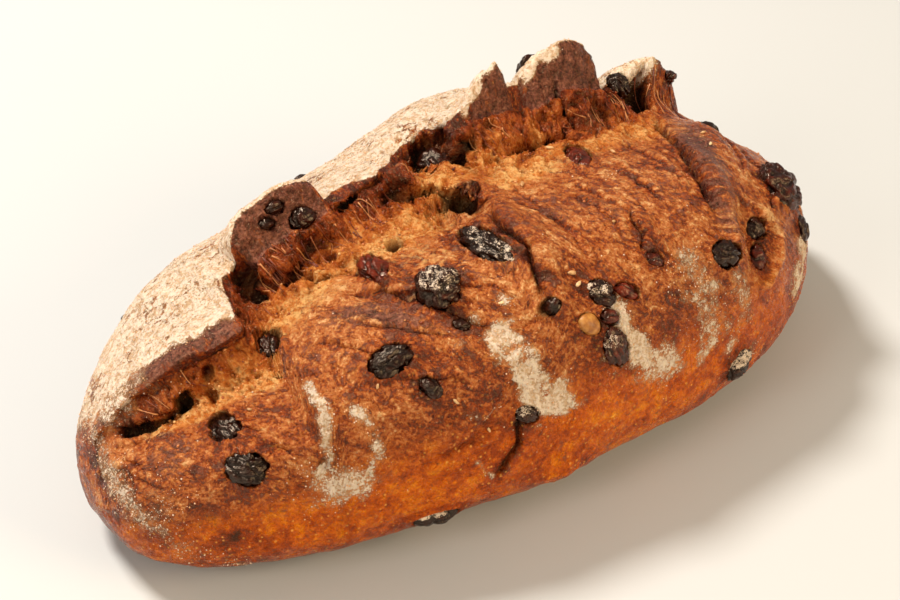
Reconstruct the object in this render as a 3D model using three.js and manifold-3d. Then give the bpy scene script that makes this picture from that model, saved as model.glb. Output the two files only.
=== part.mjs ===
// A rustic raisin loaf, slashed once along the top and torn into ears.
// The baked crust is one solid. Every raisin and the one kernel are solids of their
// own, each lying in a pocket of the crust with a fine gap round it.
// Millimetres: X runs along the loaf, -Y is the front, +Z is up, the floor is Z = 0.
// A place on the crust is given by x and by an angle round the section in degrees:
// 0 is the front, 90 the top, 180 the back and 270 the middle of the base.
import * as THREE from 'three';
import Module from 'manifold-3d';

// Outer form of the loaf
const LENGTH = 250;
const WIDTH = 127;
const HEIGHT = 80;
const WAIST = 33.6;
const END_DROOP = 0.4;
const SIDE_BOW = 1.5;
const SIDE_BOW_MIDDLE = 0.8;
const UNDERSIDE = 1.16;
const UPPER_ROUND = 0.82;
const LOWER_ROUND = 0.8;
const BLUNT_END = { power: 1.4, root: 2.7 };
const SLIM_END = { power: 3.3, root: 1.5 };

// The slash: how deep it is, and how far its floor and its far side lie from the ear
const SLASH_DEPTH = 6;
const SLASH_START = -122;
const SLASH_END = 88;
const SLASH_FADE = 26;
const TORN_FACE_SPAN = 3;
const WALL_SPAN = 13;
const BLOOM_SPAN = 40;
const FACE_FOOT = 0.15;

// Where the ear's edge runs round the section at a few places along the loaf
const EAR_EDGE = [
  [-121, 106], [-114, 98], [-100, 92], [-80, 87], [-72, 103], [-60, 107], [-16, 105],
  [-6, 112], [4, 112], [10, 107], [60, 109], [92, 106], [112, 100],
];

// Each ear is highest at its tip and rounds down to nothing at either end. round is 2
// for an even arch, less for a pointed and more for a flat one. skin is its thickness
// near the edge and lean how far the edge hangs out over the slash.
const EARS = [
  { from: -121, tip: -81, end: -75, height: 4.5, round: 2.2, skin: 9, face: 3, lean: 4 },
  { from: -67, tip: -49, end: -37, height: 12.2, round: 3, skin: 8, face: 7, lean: 0 },
  { from: 6, tip: 32, end: 66, height: 7, round: 2, skin: 7, face: 4, lean: 0 },
  { from: 12, tip: 28, end: 33.5, height: 16, round: 1.3, skin: 4, face: 4, lean: 0 },
  { from: 35, tip: 55, end: 64.5, height: 16.8, round: 2.2, skin: 5, face: 6, lean: -1 },
  { from: 67, tip: 81.5, end: 94.5, height: 14, round: 1.4, skin: 7, face: 5, lean: 0 },
];
const EAR_FOOT_SHARE = 0.3;
const EAR_FOOT_SPAN = 28;
const TORN_EDGE_HEIGHT = 1.2;
const TORN_SKIN = 8;

// Hollows and swellings of the crust: place, half length, half width, turn, depth
// (a swelling has a negative depth). The turn is from X towards larger angles.
const HOLLOWS = [
  { x: -84, angle: 128, long: 20, wide: 20, turn: 0, depth: -4 },
  { x: -28, angle: 131, long: 20, wide: 14, turn: 0, depth: 2.5 },
  { x: 17, angle: 126, long: 17, wide: 13, turn: 0, depth: -5 },
  { x: 96, angle: 96, long: 18, wide: 16, turn: 0, depth: 3.5 },
  { x: -3, angle: 107, long: 9, wide: 6, turn: 0, depth: 4.5 },
  { x: -9, angle: 87, long: 10, wide: 5, turn: -20, depth: 6 },
  { x: 36, angle: 98, long: 11, wide: 4.5, turn: 0, depth: 3.5 },
  { x: 75, angle: 103, long: 5, wide: 4.5, turn: 0, depth: 5 },
  { x: 15, angle: 101, long: 7, wide: 6, turn: 0, depth: -2.5 },
  { x: 54, angle: 99, long: 9, wide: 6, turn: 0, depth: -2 },
  { x: -70, angle: 97, long: 8, wide: 5, turn: 0, depth: 3 },
  { x: -112, angle: 84, long: 7, wide: 3.5, turn: 0, depth: 3 },
  { x: 67, angle: 36, long: 10, wide: 6, turn: 75, depth: 4 },
  { x: 82, angle: 80, long: 15, wide: 6, turn: 60, depth: -3 },
  { x: -6, angle: 66, long: 18, wide: 6, turn: 80, depth: -2 },
  { x: -12, angle: -18, long: 9, wide: 5, turn: 0, depth: -2.5 },
  { x: -94, angle: -8, long: 8, wide: 5, turn: 0, depth: -1.5 },
];

// Folds where one skin of dough lies over another: the line of the fold as places,
// the step in height at it, and how far the step carries to either side.
const FOLDS = [
  { line: [[-48, 74], [-42, 62], [-37, 52], [-28, 42], [-24, 38]], step: -1.5, reach: 7 },
  { line: [[-1, 82], [-4, 72], [-3, 62], [-6, 54], [-8, 44]], step: 3, reach: 6 },
  { line: [[68, 72], [63, 58], [59, 46], [57, 38]], step: 3, reach: 7 },
  { line: [[-51, 10], [-42, 12], [-34, 20]], step: 1.8, reach: 7 },
];

// How far to either side a direction of the surface is felt out, in mm and in degrees
const PROBE = 0.4;

// How finely the crust is faceted
const STATION_STEP = 3.3;
const OUTLINE_STEPS = 4000;
const FRONT_OFFSETS = [1.7, 3.5, 7, 12, 17, 24, 32, 42];
const BACK_OFFSETS = [2, 5, 9, 15, 23, 34, 48];
const FRONT_STEPS = 13;
const BACK_STEPS = 6;
const BASE_ANGLE = -90;

// Raisins: place, length, width, thickness, turn, and how far the middle stands out of
// the crust. The last rows are on the sides that face away.
const RAISINS = [
  { x: -97, angle: 36, size: [12.5, 9.5, 7], turn: -25, out: -1.4 },
  { x: -97, angle: 61, size: [11.5, 9, 6], turn: -78, out: -1.4 },
  { x: -76, angle: 82, size: [9, 7.5, 5.5], turn: 50, out: -0.8 },
  { x: -54, angle: 50, size: [13.5, 8.8, 7], turn: 3, out: -0.6 },
  { x: -48, angle: 35.5, size: [7.2, 5, 4.6], turn: -64, out: -0.4 },
  { x: -32, angle: 64, size: [13.5, 12.5, 9.5], turn: 42, out: 2 },
  { x: -12.5, angle: 71, size: [21, 9, 6], turn: -86, out: -0.4 },
  { x: -32.5, angle: 50.5, size: [5.8, 4, 3.6], turn: -43, out: -0.2 },
  { x: -40, angle: 84, size: [12.5, 8.5, 6], turn: -89, out: -0.4 },
  { x: -8.5, angle: 43, size: [6, 5, 4.5], turn: 0, out: -0.6 },
  { x: 7.5, angle: 40.5, size: [9.6, 7.4, 6], turn: -51, out: 0 },
  { x: 15.5, angle: 37.5, size: [7.6, 4.6, 4], turn: -36, out: -0.4 },
  { x: 6.8, angle: 32.2, size: [6.2, 4.6, 4.4], turn: -18, out: -0.2 },
  { x: 6, angle: 21.5, size: [12, 8.4, 6], turn: -86, out: -0.6 },
  { x: 53, angle: 35, size: [11, 8.8, 6.5], turn: -21, out: -0.4 },
  { x: 72.5, angle: 39, size: [8.2, 7.4, 6], turn: -75, out: -0.8 },
  { x: 69, angle: 28, size: [8.6, 5.8, 5.5], turn: 62, out: -0.8 },
  { x: 93, angle: 52, size: [17, 17, 10], turn: 80, out: 1.2 },
  { x: 97, angle: 26, size: [9, 8.5, 6], turn: 80, out: 0 },
  { x: 89, angle: 87, size: [7.5, 7, 5.5], turn: 0, out: 0.2 },
  { x: 54, angle: -7, size: [10, 10.5, 6.5], turn: 80, out: 0 },
  { x: -24.5, angle: 11.5, size: [7.4, 5.4, 4.5], turn: -35, out: -0.8 },
  { x: -50, angle: -20, size: [14, 7, 6], turn: 0, out: -0.6 },
  { x: 28.5, angle: 43.5, size: [6.4, 4.6, 4], turn: -45, out: -0.6 },
  { x: 2, angle: 103.5, size: [11.5, 9, 5.5], turn: -68, out: -0.4 },
  { x: 38.5, angle: 88.5, size: [13.5, 8.6, 5], turn: 57, out: -0.8 },
  { x: -46, angle: 101, size: [8.6, 7, 5.5], turn: 3, out: -0.6 },
  { x: -50.5, angle: 104.2, size: [5.8, 3.8, 4], turn: 3, out: -0.6 },
  { x: -54.6, angle: 103.2, size: [4.4, 3.2, 3.4], turn: -11, out: -0.4 },
  { x: 47, angle: 114.5, size: [8, 7.5, 7], turn: 0, out: 1.8 },
  { x: 71.5, angle: 106, size: [7.8, 7, 6], turn: -81, out: 0 },
  { x: 88, angle: 106, size: [5, 4.6, 4.6], turn: 0, out: 0.4 },
  { x: -88, angle: 165, size: [11, 8.5, 6], turn: 20, out: -0.6 },
  { x: -55, angle: 174, size: [12, 9, 6.5], turn: 70, out: -0.4 },
  { x: -20, angle: 161, size: [9, 8, 6], turn: 0, out: -0.2 },
  { x: 14, angle: 176, size: [12.5, 9.5, 7], turn: 35, out: 0.2 },
  { x: 42, angle: 160, size: [8, 6.5, 5], turn: 60, out: -0.6 },
  { x: 76, angle: 168, size: [11, 9, 7], turn: 15, out: 0.2 },
];
const RAISIN_AROUND = 8;
const RAISIN_RINGS = 6;
const RAISIN_LUMPS = { height: 0.09, lengthwise: 3, across: 2.3, seedTurn: 1.7 };
const POCKET_GAP = 0.3;

// The pale kernel at the front of the crown
const KERNEL = { x: 0, angle: 33, size: [7.4, 5.8, 4.8], turn: -46, out: 0.4 };

const CRUST_LOOK = { colour: 0xa9602a, roughness: 0.8 };
const RAISIN_LOOK = { colour: 0x2c1b1d, roughness: 0.45 };
const KERNEL_LOOK = { colour: 0xd9a24e, roughness: 0.45 };

const radians = (degrees) => (degrees * Math.PI) / 180;
const clamp = (value, low, high) => Math.min(high, Math.max(low, value));
const smooth = (value) => {
  const t = clamp(value, 0, 1);
  return t * t * (3 - 2 * t);
};
const signedPower = (value, power) => Math.sign(value) * Math.abs(value) ** power;

// Value at x on a curve given by its turning points, eased from one to the next
function along(points, x) {
  if (x <= points[0][0]) return points[0][1];
  for (let i = 1; i < points.length; i += 1) {
    const [x0, v0] = points[i - 1];
    const [x1, v1] = points[i];
    if (x <= x1) return v0 + (v1 - v0) * smooth((x - x0) / (x1 - x0));
  }
  return points[points.length - 1][1];
}

// Share of the full section that is left at x, from 1 in the middle to 0 at the ends
function fullness(x) {
  const end = x < 0 ? BLUNT_END : SLIM_END;
  const inside = 1 - Math.abs((2 * x) / LENGTH) ** end.power;
  return clamp(inside, 0, 1) ** (1 / end.root);
}

// The loaf before it was slashed
function plainPoint(x, angle) {
  const endShare = ((2 * x) / LENGTH) ** 2;
  const full = fullness(x);
  const c = Math.cos(radians(angle));
  const s = Math.sin(radians(angle));
  const round = s > 0 ? UPPER_ROUND : LOWER_ROUND;
  const rise = s > 0 ? (HEIGHT - WAIST) * full : WAIST * UNDERSIDE * full;
  const y = (-WIDTH / 2) * full * signedPower(c, round) - SIDE_BOW * (SIDE_BOW_MIDDLE - endShare);
  const z = WAIST * (1 - END_DROOP * endShare) + rise * signedPower(s, round);
  return new THREE.Vector3(x, y, Math.max(z, 0));
}

// Outward direction of a surface given as a function of x and angle
function outward(surface, x, angle) {
  const alongX = surface(x + PROBE, angle).sub(surface(x - PROBE, angle));
  const round = surface(x, angle + PROBE).sub(surface(x, angle - PROBE));
  return alongX.cross(round).normalize();
}

// Unit directions in the crust at a place: along the loaf, and round towards the back
function surfaceAxes(surface, x, angle) {
  const out = outward(surface, x, angle);
  const lengthwise = new THREE.Vector3(1, 0, 0).addScaledVector(out, -out.x).normalize();
  const round = new THREE.Vector3().crossVectors(out, lengthwise).normalize();
  return { out, lengthwise, round };
}

function earShare(ear, x) {
  const reach = x < ear.tip ? ear.tip - ear.from : ear.end - ear.tip;
  const away = clamp(Math.abs(x - ear.tip) / reach, 0, 1);
  return (1 - away ** ear.round) ** (1 / ear.round);
}

function slashShare(x) {
  return smooth((x - SLASH_START) / SLASH_FADE) * smooth((SLASH_END - x) / SLASH_FADE);
}

// Height of the crust over the plain loaf because of the slash and its ears, and how
// far it is drawn forwards over the slash
function slashRelief(x, angle) {
  const behind = angle - along(EAR_EDGE, x);
  const share = slashShare(x);
  let height = TORN_EDGE_HEIGHT * share;
  let skin = TORN_SKIN;
  let face = TORN_FACE_SPAN;
  let lean = 0;
  EARS.forEach((ear) => {
    const earHeight = ear.height * earShare(ear, x);
    if (earHeight > height) {
      height = earHeight;
      skin = ear.skin;
      face = ear.face;
      lean = ear.lean * earShare(ear, x);
    }
  });
  if (behind >= 0) {
    const foot = EAR_FOOT_SHARE * (1 - smooth(behind / EAR_FOOT_SPAN));
    const wall = (1 - EAR_FOOT_SHARE) * Math.exp(-((behind / skin) ** 2));
    return { out: height * (foot + wall), forward: lean * wall };
  }
  const front = -behind;
  const foot = FACE_FOOT * height;
  const floor = -SLASH_DEPTH * share;
  if (front < face) {
    const down = smooth(front / face);
    return { out: height + (foot - height) * down, forward: lean * (1 - down) };
  }
  if (front < WALL_SPAN) {
    const down = smooth((front - face) / (WALL_SPAN - face));
    return { out: foot + (floor - foot) * down, forward: 0 };
  }
  return { out: floor * (1 - smooth((front - WALL_SPAN) / BLOOM_SPAN)), forward: 0 };
}

// Depth of one hollow under a point of the plain loaf
function hollowDepth(hollow, point) {
  const offset = point.clone().sub(hollow.centre);
  const across = offset.dot(hollow.across) / hollow.wide;
  const lengthwise = offset.dot(hollow.lengthwise) / hollow.long;
  return hollow.depth * Math.exp(-(across ** 2 + lengthwise ** 2));
}

// Step in height at a fold. Someone who walks the line on the crust has the raised side
// on the left hand when step is positive.
function foldHeight(fold, point, out) {
  let nearest = Infinity;
  let side = 0;
  for (let i = 1; i < fold.points.length; i += 1) {
    const start = fold.points[i - 1];
    const way = fold.points[i].clone().sub(start);
    const share = clamp(point.clone().sub(start).dot(way) / way.lengthSq(), 0, 1);
    const offset = point.clone().sub(start.clone().addScaledVector(way, share));
    if (offset.length() < nearest) {
      nearest = offset.length();
      side = offset.dot(out.clone().cross(way).normalize());
    }
  }
  const fade = Math.exp(-((nearest / fold.reach) ** 2));
  return fold.step * fade * (0.5 + 0.5 * Math.tanh(side));
}

function placeHollows() {
  return HOLLOWS.map((hollow) => {
    const { lengthwise, round } = surfaceAxes(plainPoint, hollow.x, hollow.angle);
    const turn = radians(hollow.turn);
    return {
      ...hollow,
      centre: plainPoint(hollow.x, hollow.angle),
      lengthwise: lengthwise.clone().multiplyScalar(Math.cos(turn))
        .addScaledVector(round, Math.sin(turn)),
      across: round.clone().multiplyScalar(Math.cos(turn))
        .addScaledVector(lengthwise, -Math.sin(turn)),
    };
  });
}

const placedHollows = placeHollows();
const placedFolds = FOLDS.map((fold) => (
  { ...fold, points: fold.line.map(([x, angle]) => plainPoint(x, angle)) }
));

// The baked crust, with the slash, the ears, the hollows and the folds
function crustPoint(x, angle) {
  const point = plainPoint(x, angle);
  if (point.z <= 0 || fullness(x) === 0) return point;
  const { out, round } = surfaceAxes(plainPoint, x, angle);
  const slash = slashRelief(x, angle);
  let height = slash.out;
  placedHollows.forEach((hollow) => {
    height -= hollowDepth(hollow, point);
  });
  placedFolds.forEach((fold) => {
    height += foldHeight(fold, point, out);
  });
  const lifted = point.addScaledVector(out, height).addScaledVector(round, -slash.forward);
  lifted.z = Math.max(lifted.z, 0);
  return lifted;
}

// Stations evenly spaced along the outline of the loaf seen from above
function stations() {
  const lengths = [0];
  const places = [-LENGTH / 2];
  let width = 0;
  for (let i = 1; i <= OUTLINE_STEPS; i += 1) {
    const x = (-LENGTH / 2) * Math.cos((Math.PI * i) / OUTLINE_STEPS);
    const newWidth = (WIDTH / 2) * fullness(x);
    const step = Math.hypot(x - places[i - 1], newWidth - width);
    lengths.push(lengths[i - 1] + step);
    places.push(x);
    width = newWidth;
  }
  const total = lengths[OUTLINE_STEPS];
  const count = Math.round(total / STATION_STEP);
  const result = [];
  let i = 0;
  for (let k = 1; k < count; k += 1) {
    while (lengths[i] < (total * k) / count) i += 1;
    result.push(places[i]);
  }
  return result;
}

// Angles round one section, closest together at the ear and the slash
function sectionAngles(x) {
  const edge = along(EAR_EDGE, x);
  const angles = [];
  const frontStart = edge - FRONT_OFFSETS[FRONT_OFFSETS.length - 1];
  for (let i = 0; i < FRONT_STEPS; i += 1) {
    angles.push(BASE_ANGLE + ((frontStart - BASE_ANGLE) * i) / FRONT_STEPS);
  }
  FRONT_OFFSETS.slice().reverse().forEach((offset) => angles.push(edge - offset));
  angles.push(edge);
  BACK_OFFSETS.forEach((offset) => angles.push(edge + offset));
  const backStart = edge + BACK_OFFSETS[BACK_OFFSETS.length - 1];
  for (let i = 1; i < BACK_STEPS; i += 1) {
    angles.push(backStart + ((BASE_ANGLE + 360 - backStart) * i) / BACK_STEPS);
  }
  return angles;
}

// A closed skin of triangles over rings of points, with a single point at either end
function closedSkin(rings, first, last) {
  const around = rings[0].length;
  const positions = [first, ...rings.flat(), last].flatMap((p) => [p.x, p.y, p.z]);
  const at = (ring, i) => 1 + ring * around + (i % around);
  const index = [];
  const end = 1 + rings.length * around;
  for (let i = 0; i < around; i += 1) {
    index.push(0, at(0, i), at(0, i + 1));
    for (let ring = 1; ring < rings.length; ring += 1) {
      index.push(at(ring - 1, i), at(ring, i), at(ring - 1, i + 1));
      index.push(at(ring - 1, i + 1), at(ring, i), at(ring, i + 1));
    }
    index.push(end, at(rings.length - 1, i + 1), at(rings.length - 1, i));
  }
  const geometry = new THREE.BufferGeometry();
  geometry.setAttribute('position', new THREE.Float32BufferAttribute(positions, 3));
  geometry.setIndex(index);
  return geometry;
}

function crustGeometry() {
  const rings = stations().map((x) => sectionAngles(x).map((angle) => crustPoint(x, angle)));
  return closedSkin(rings, plainPoint(-LENGTH / 2, 0), plainPoint(LENGTH / 2, 0));
}

// A lumpy oval lying in the crust. grow widens it on every side.
function morselGeometry(morsel, seed, grow) {
  const { out, lengthwise, round } = surfaceAxes(crustPoint, morsel.x, morsel.angle);
  const centre = crustPoint(morsel.x, morsel.angle).addScaledVector(out, morsel.out);
  const turn = radians(morsel.turn);
  const axes = [
    lengthwise.clone().multiplyScalar(Math.cos(turn)).addScaledVector(round, Math.sin(turn)),
    round.clone().multiplyScalar(Math.cos(turn)).addScaledVector(lengthwise, -Math.sin(turn)),
    out,
  ];
  const place = (u, v, w) => {
    const lump = RAISIN_LUMPS.height * Math.sin(RAISIN_LUMPS.lengthwise * u + seed)
      * Math.cos(RAISIN_LUMPS.across * v + RAISIN_LUMPS.seedTurn * seed + w);
    const shape = [u, v, w].map((c, i) => c * (morsel.size[i] / 2) * (1 + lump));
    const length = Math.hypot(...shape);
    const wider = length > 0 ? 1 + grow / length : 1;
    return axes.reduce((p, axis, i) => p.addScaledVector(axis, shape[i] * wider), centre.clone());
  };
  const rings = [];
  for (let ring = 1; ring < RAISIN_RINGS; ring += 1) {
    const polar = (Math.PI * ring) / RAISIN_RINGS;
    const row = [];
    for (let i = 0; i < RAISIN_AROUND; i += 1) {
      const turnRound = (2 * Math.PI * i) / RAISIN_AROUND;
      const across = -Math.sin(polar) * Math.cos(turnRound);
      const up = Math.sin(polar) * Math.sin(turnRound);
      row.push(place(-Math.cos(polar), across, up));
    }
    rings.push(row);
  }
  return closedSkin(rings, place(-1, 0, 0), place(1, 0, 0));
}

const wasm = await Module();
wasm.setup();

function toManifold(geometry) {
  return new wasm.Manifold(new wasm.Mesh({
    numProp: 3,
    vertProperties: new Float32Array(geometry.getAttribute('position').array),
    triVerts: new Uint32Array(geometry.getIndex().array),
  }));
}

function fromManifold(manifold) {
  const mesh = manifold.getMesh();
  const geometry = new THREE.BufferGeometry();
  const positions = new Float32Array(mesh.vertProperties);
  geometry.setAttribute('position', new THREE.BufferAttribute(positions, 3));
  geometry.setIndex(new THREE.BufferAttribute(new Uint32Array(mesh.triVerts), 1));
  return geometry;
}

function namedMesh(name, geometry, look) {
  geometry.computeVertexNormals();
  const { colour, roughness } = look;
  const material = new THREE.MeshStandardMaterial({ color: colour, roughness, metalness: 0 });
  const mesh = new THREE.Mesh(geometry, material);
  mesh.name = name;
  return mesh;
}

// The largest piece of a body, without any crumb that a cut has freed
function largestPiece(manifold) {
  return manifold.decompose().reduce((a, b) => (b.volume() > a.volume() ? b : a));
}

function buildGroup() {
  const morsels = RAISINS.map((raisin, i) => (
    { ...raisin, name: `raisin_${String(i + 1).padStart(2, '0')}`, look: RAISIN_LOOK }
  ));
  morsels.push({ ...KERNEL, name: 'kernel', look: KERNEL_LOOK });
  let crust = toManifold(crustGeometry());
  const group = new THREE.Group();
  morsels.forEach((morsel, i) => {
    crust = crust.subtract(toManifold(morselGeometry(morsel, i, POCKET_GAP)));
    group.add(namedMesh(morsel.name, morselGeometry(morsel, i, 0), morsel.look));
  });
  crust = largestPiece(crust);
  group.add(namedMesh('loaf', fromManifold(crust), CRUST_LOOK));
  return group;
}

const group = buildGroup();
export default group;
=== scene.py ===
import math
from collections import namedtuple

import bpy
import numpy as np
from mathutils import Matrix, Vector, noise


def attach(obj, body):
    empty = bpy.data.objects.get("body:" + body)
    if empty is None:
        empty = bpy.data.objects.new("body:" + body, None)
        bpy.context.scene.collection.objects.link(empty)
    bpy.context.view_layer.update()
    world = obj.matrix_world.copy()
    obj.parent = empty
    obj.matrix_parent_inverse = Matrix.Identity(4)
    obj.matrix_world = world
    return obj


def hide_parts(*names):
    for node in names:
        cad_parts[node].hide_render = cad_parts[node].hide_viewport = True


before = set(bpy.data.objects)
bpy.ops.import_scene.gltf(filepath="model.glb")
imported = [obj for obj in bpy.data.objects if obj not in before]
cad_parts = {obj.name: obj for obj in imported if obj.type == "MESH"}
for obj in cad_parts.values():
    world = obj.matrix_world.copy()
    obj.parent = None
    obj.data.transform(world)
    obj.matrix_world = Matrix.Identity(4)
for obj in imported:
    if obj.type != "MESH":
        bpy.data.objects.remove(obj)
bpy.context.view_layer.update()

MM = 0.001

# Outer form, the same as the solid's
LENGTH, WIDTH, HEIGHT, WAIST = 250, 127, 80, 33.6
END_DROOP, SIDE_BOW, SIDE_BOW_MIDDLE, UNDERSIDE = 0.4, 1.5, 0.8, 1.16
UPPER_ROUND, LOWER_ROUND = 0.82, 0.8
BLUNT_END, SLIM_END = (1.4, 2.7), (3.3, 1.5)

# The slash and its ears
SLASH_DEPTH, SLASH_START, SLASH_END, SLASH_FADE = 6, -122, 88, 26
TORN_FACE_SPAN, WALL_SPAN, BLOOM_SPAN, FACE_FOOT = 3, 13, 40, 0.15
EAR_EDGE = (
    (-121, 106), (-114, 98), (-100, 92), (-80, 87), (-72, 103), (-60, 107), (-16, 105),
    (-6, 112), (4, 112), (10, 107), (60, 109), (92, 106), (112, 100),
)
EARS = (
    {"from": -121, "tip": -81, "end": -75, "height": 4.5, "round": 2.2, "skin": 9, "face": 3, "lean": 4},
    {"from": -67, "tip": -49, "end": -37, "height": 12.2, "round": 3, "skin": 8, "face": 7, "lean": 0},
    {"from": 6, "tip": 32, "end": 66, "height": 7, "round": 2, "skin": 7, "face": 4, "lean": 0},
    {"from": 12, "tip": 28, "end": 33.5, "height": 16, "round": 1.3, "skin": 4, "face": 4, "lean": 0},
    {"from": 35, "tip": 55, "end": 64.5, "height": 16.8, "round": 2.2, "skin": 5, "face": 6, "lean": -1},
    {"from": 67, "tip": 81.5, "end": 94.5, "height": 14, "round": 1.4, "skin": 7, "face": 5, "lean": 0},
)
TORN_END, TORN_WANDER = 16, 3
EAR_FOOT_SHARE, EAR_FOOT_SPAN, TORN_EDGE_HEIGHT, TORN_SKIN = 0.3, 28, 1.2, 8

# Hollows of the crust (swellings below zero): x, angle, half length, half width, turn, depth
HOLLOWS = (
    (-84, 128, 20, 20, 0, -4), (-28, 131, 20, 14, 0, 2.5), (17, 126, 17, 13, 0, -5),
    (96, 96, 18, 16, 0, 3.5), (-3, 107, 9, 6, 0, 4.5), (-9, 87, 10, 5, -20, 6),
    (36, 98, 11, 4.5, 0, 3.5), (75, 103, 5, 4.5, 0, 5), (15, 101, 7, 6, 0, -2.5),
    (54, 99, 9, 6, 0, -2), (-70, 97, 8, 5, 0, 3), (-112, 84, 7, 3.5, 0, 3),
    (67, 36, 10, 6, 75, 4), (82, 80, 15, 6, 60, -3), (-6, 66, 18, 6, 80, -2),
    (-12, -18, 9, 5, 0, -2.5), (-94, -8, 8, 5, 0, -1.5),
)

# Folds, with the raised side on the left of one who walks the line: line, step, reach
FOLDS = (
    (((-48, 74), (-42, 62), (-37, 52), (-28, 42), (-24, 38)), -1.5, 7),
    (((-1, 82), (-4, 72), (-3, 62), (-6, 54), (-8, 44)), 3, 6),
    (((68, 72), (63, 58), (59, 46), (57, 38)), 3, 7),
    (((-51, 10), (-42, 12), (-34, 20)), 1.8, 7),
)

# Lines on the crust where one skin of dough laps over another, which is raised on the left of
# one who walks the line: line, step, reach, lap over the groove, depth of groove, painted shade
LAPS = (
    (
        ((-62, 85), (-54, 88.5), (-48, 86), (-45, 79), (-42, 67), (-37, 57), (-29, 46), (-24, 38)),
        -1.1, 4, -1.6, 1.6, 0.75,
    ),
    (((-1, 82), (-4, 72), (-3, 62), (-6, 54), (-8, 44)), 0, 5, 1.8, 2.2, 0.9),
    (((80, 96), (76.5, 90), (73.5, 82), (66.5, 69), (61.5, 57), (58, 45)), 1.3, 5, 2, 2.2, 0.9),
    (((-51, 10), (-42, 12), (-34, 20)), 0, 4, 0.6, 0.4, 0.1),
    (((33, 62), (31, 58), (31, 52), (26, 46)), 1.2, 3, 0.8, 1.2, 0.7),
    (((48, 106), (48, 101), (49, 98), (50, 94)), 1.5, 3, 1.2, 2.2, 0.9),
    (((-22, 96), (-14, 98), (-7, 97.5), (-2, 92), (3, 84)), 2.2, 3.5, 3.4, 3.4, 1),
    (((-26, 14), (-26, 2), (-34, -8)), 1, 4, 0.8, 1.6, 0.8),
    (((-116, 95), (-111, 88), (-104, 86), (-97, 84)), 0.5, 4, 2.4, 2.5, 1),
    (((19, 95.5), (27, 98), (36, 98.5), (44, 97), (49, 91)), 1.8, 3, 1.4, 4.2, 1),
    (((8, 106), (8, 101), (8, 96)), 1, 3, 1.4, 3, 1),
    (((-36, 101), (-30, 103), (-24, 103), (-16, 103)), 0.6, 3, 2.2, 1.8, 0.8),
    (((-66, 97), (-58, 96), (-50, 98), (-40, 97)), 0.8, 3, 1.6, 1.4, 0.7),
    (((-120, 99), (-122, 88), (-123, 76)), 0.8, 4, 1, 1.6, 0.9),
)

# Creases where the skin stretched as the slash opened, with painted shade in their grooves: x and angle
# where each starts, millimetres along the loaf and degrees round it to its end, bow, width, painted shade
CREASES = (
    (-56, 84, 34, -36, 4, 0.9, 0.3), (-60, 76, 26, -30, -3, 0.7, 0.2), (-48, 76, 14, -26, 2, 0.6, 0.25),
    (-70, 74, 16, -30, 3, 0.7, 0.15), (-84, 74, 14, -24, 3, 0.6, 0.15), (-98, 72, 10, -24, -2, 0.6, 0.15),
    (-36, 76, 20, -22, -3, 0.8, 0.3), (-30, 70, 16, -26, 3, 0.6, 0.2), (-14, 74, 9, -30, 3, 1, 0.3),
    (-10, 84, 8, -24, -2, 0.7, 0.2), (4, 86, 4, -40, 4, 0.8, 0.2), (12, 88, 2, -34, -3, 0.6, 0.2),
    (20, 80, 3, -30, 3, 0.8, 0.25), (28, 84, 6, -26, -3, 0.6, 0.2), (40, 84, 2, -30, 3, 0.7, 0.25),
    (48, 90, -2, -30, -3, 0.7, 0.25), (56, 92, -4, -34, 3, 0.8, 0.3), (64, 88, -5, -30, 2, 0.6, 0.2),
    (72, 94, -6, -30, -2, 0.7, 0.25), (88, 86, -8, -26, 3, 0.8, 0.25), (96, 80, -8, -30, -3, 0.7, 0.2),
    (-122, 84, 2, -34, 2, 0.7, 0.25), (-120, 80, 3, -30, 2, 0.6, 0.2), (-117, 74, 3, -34, -2, 0.6, 0.2),
    (-58, 44, 22, -14, 3, 0.7, 0.15), (30, 52, 12, -16, -3, 0.7, 0.2), (68, 56, 6, -20, 3, 0.7, 0.2),
    (84, 64, -2, -24, 3, 1, 0.3), (104, 60, -4, -30, 3, 0.7, 0.2), (50, 46, 4, -18, 2, 0.7, 0.2),
)

# Low ridges of skin: line, height, half width
RIDGES = (
    (((-41, 23), (-36, 19), (-30, 21)), 0.9, 1.4),
    (((71, 52), (77, 43), (79.5, 33), (76, 24), (67, 17), (59, 20)), 2.4, 1.5),
    (((-57, 4), (-45, 6.5), (-36, 8), (-30, 13)), 1.2, 1.7),
    (((62, 40), (63, 30)), 1, 1.5),
    (((-60, 82), (-50, 84), (-44, 74)), 1.2, 2),
    (((-90, 42), (-87, 37), (-86, 32)), -0.7, 0.6),
    (((-74, 54), (-78, 38), (-83, 26)), 0.7, 2.5),
    (((-118, 92), (-116, 85), (-112, 83), (-107, 80)), 1.6, 1.2),
    (((62, 84), (54, 66), (50, 50)), 0.7, 2),
    (((20, 84), (14, 70), (18, 56)), 0.6, 2),
    (((-98, 74), (-88, 66), (-84, 54)), 0.6, 1.8),
)
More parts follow.
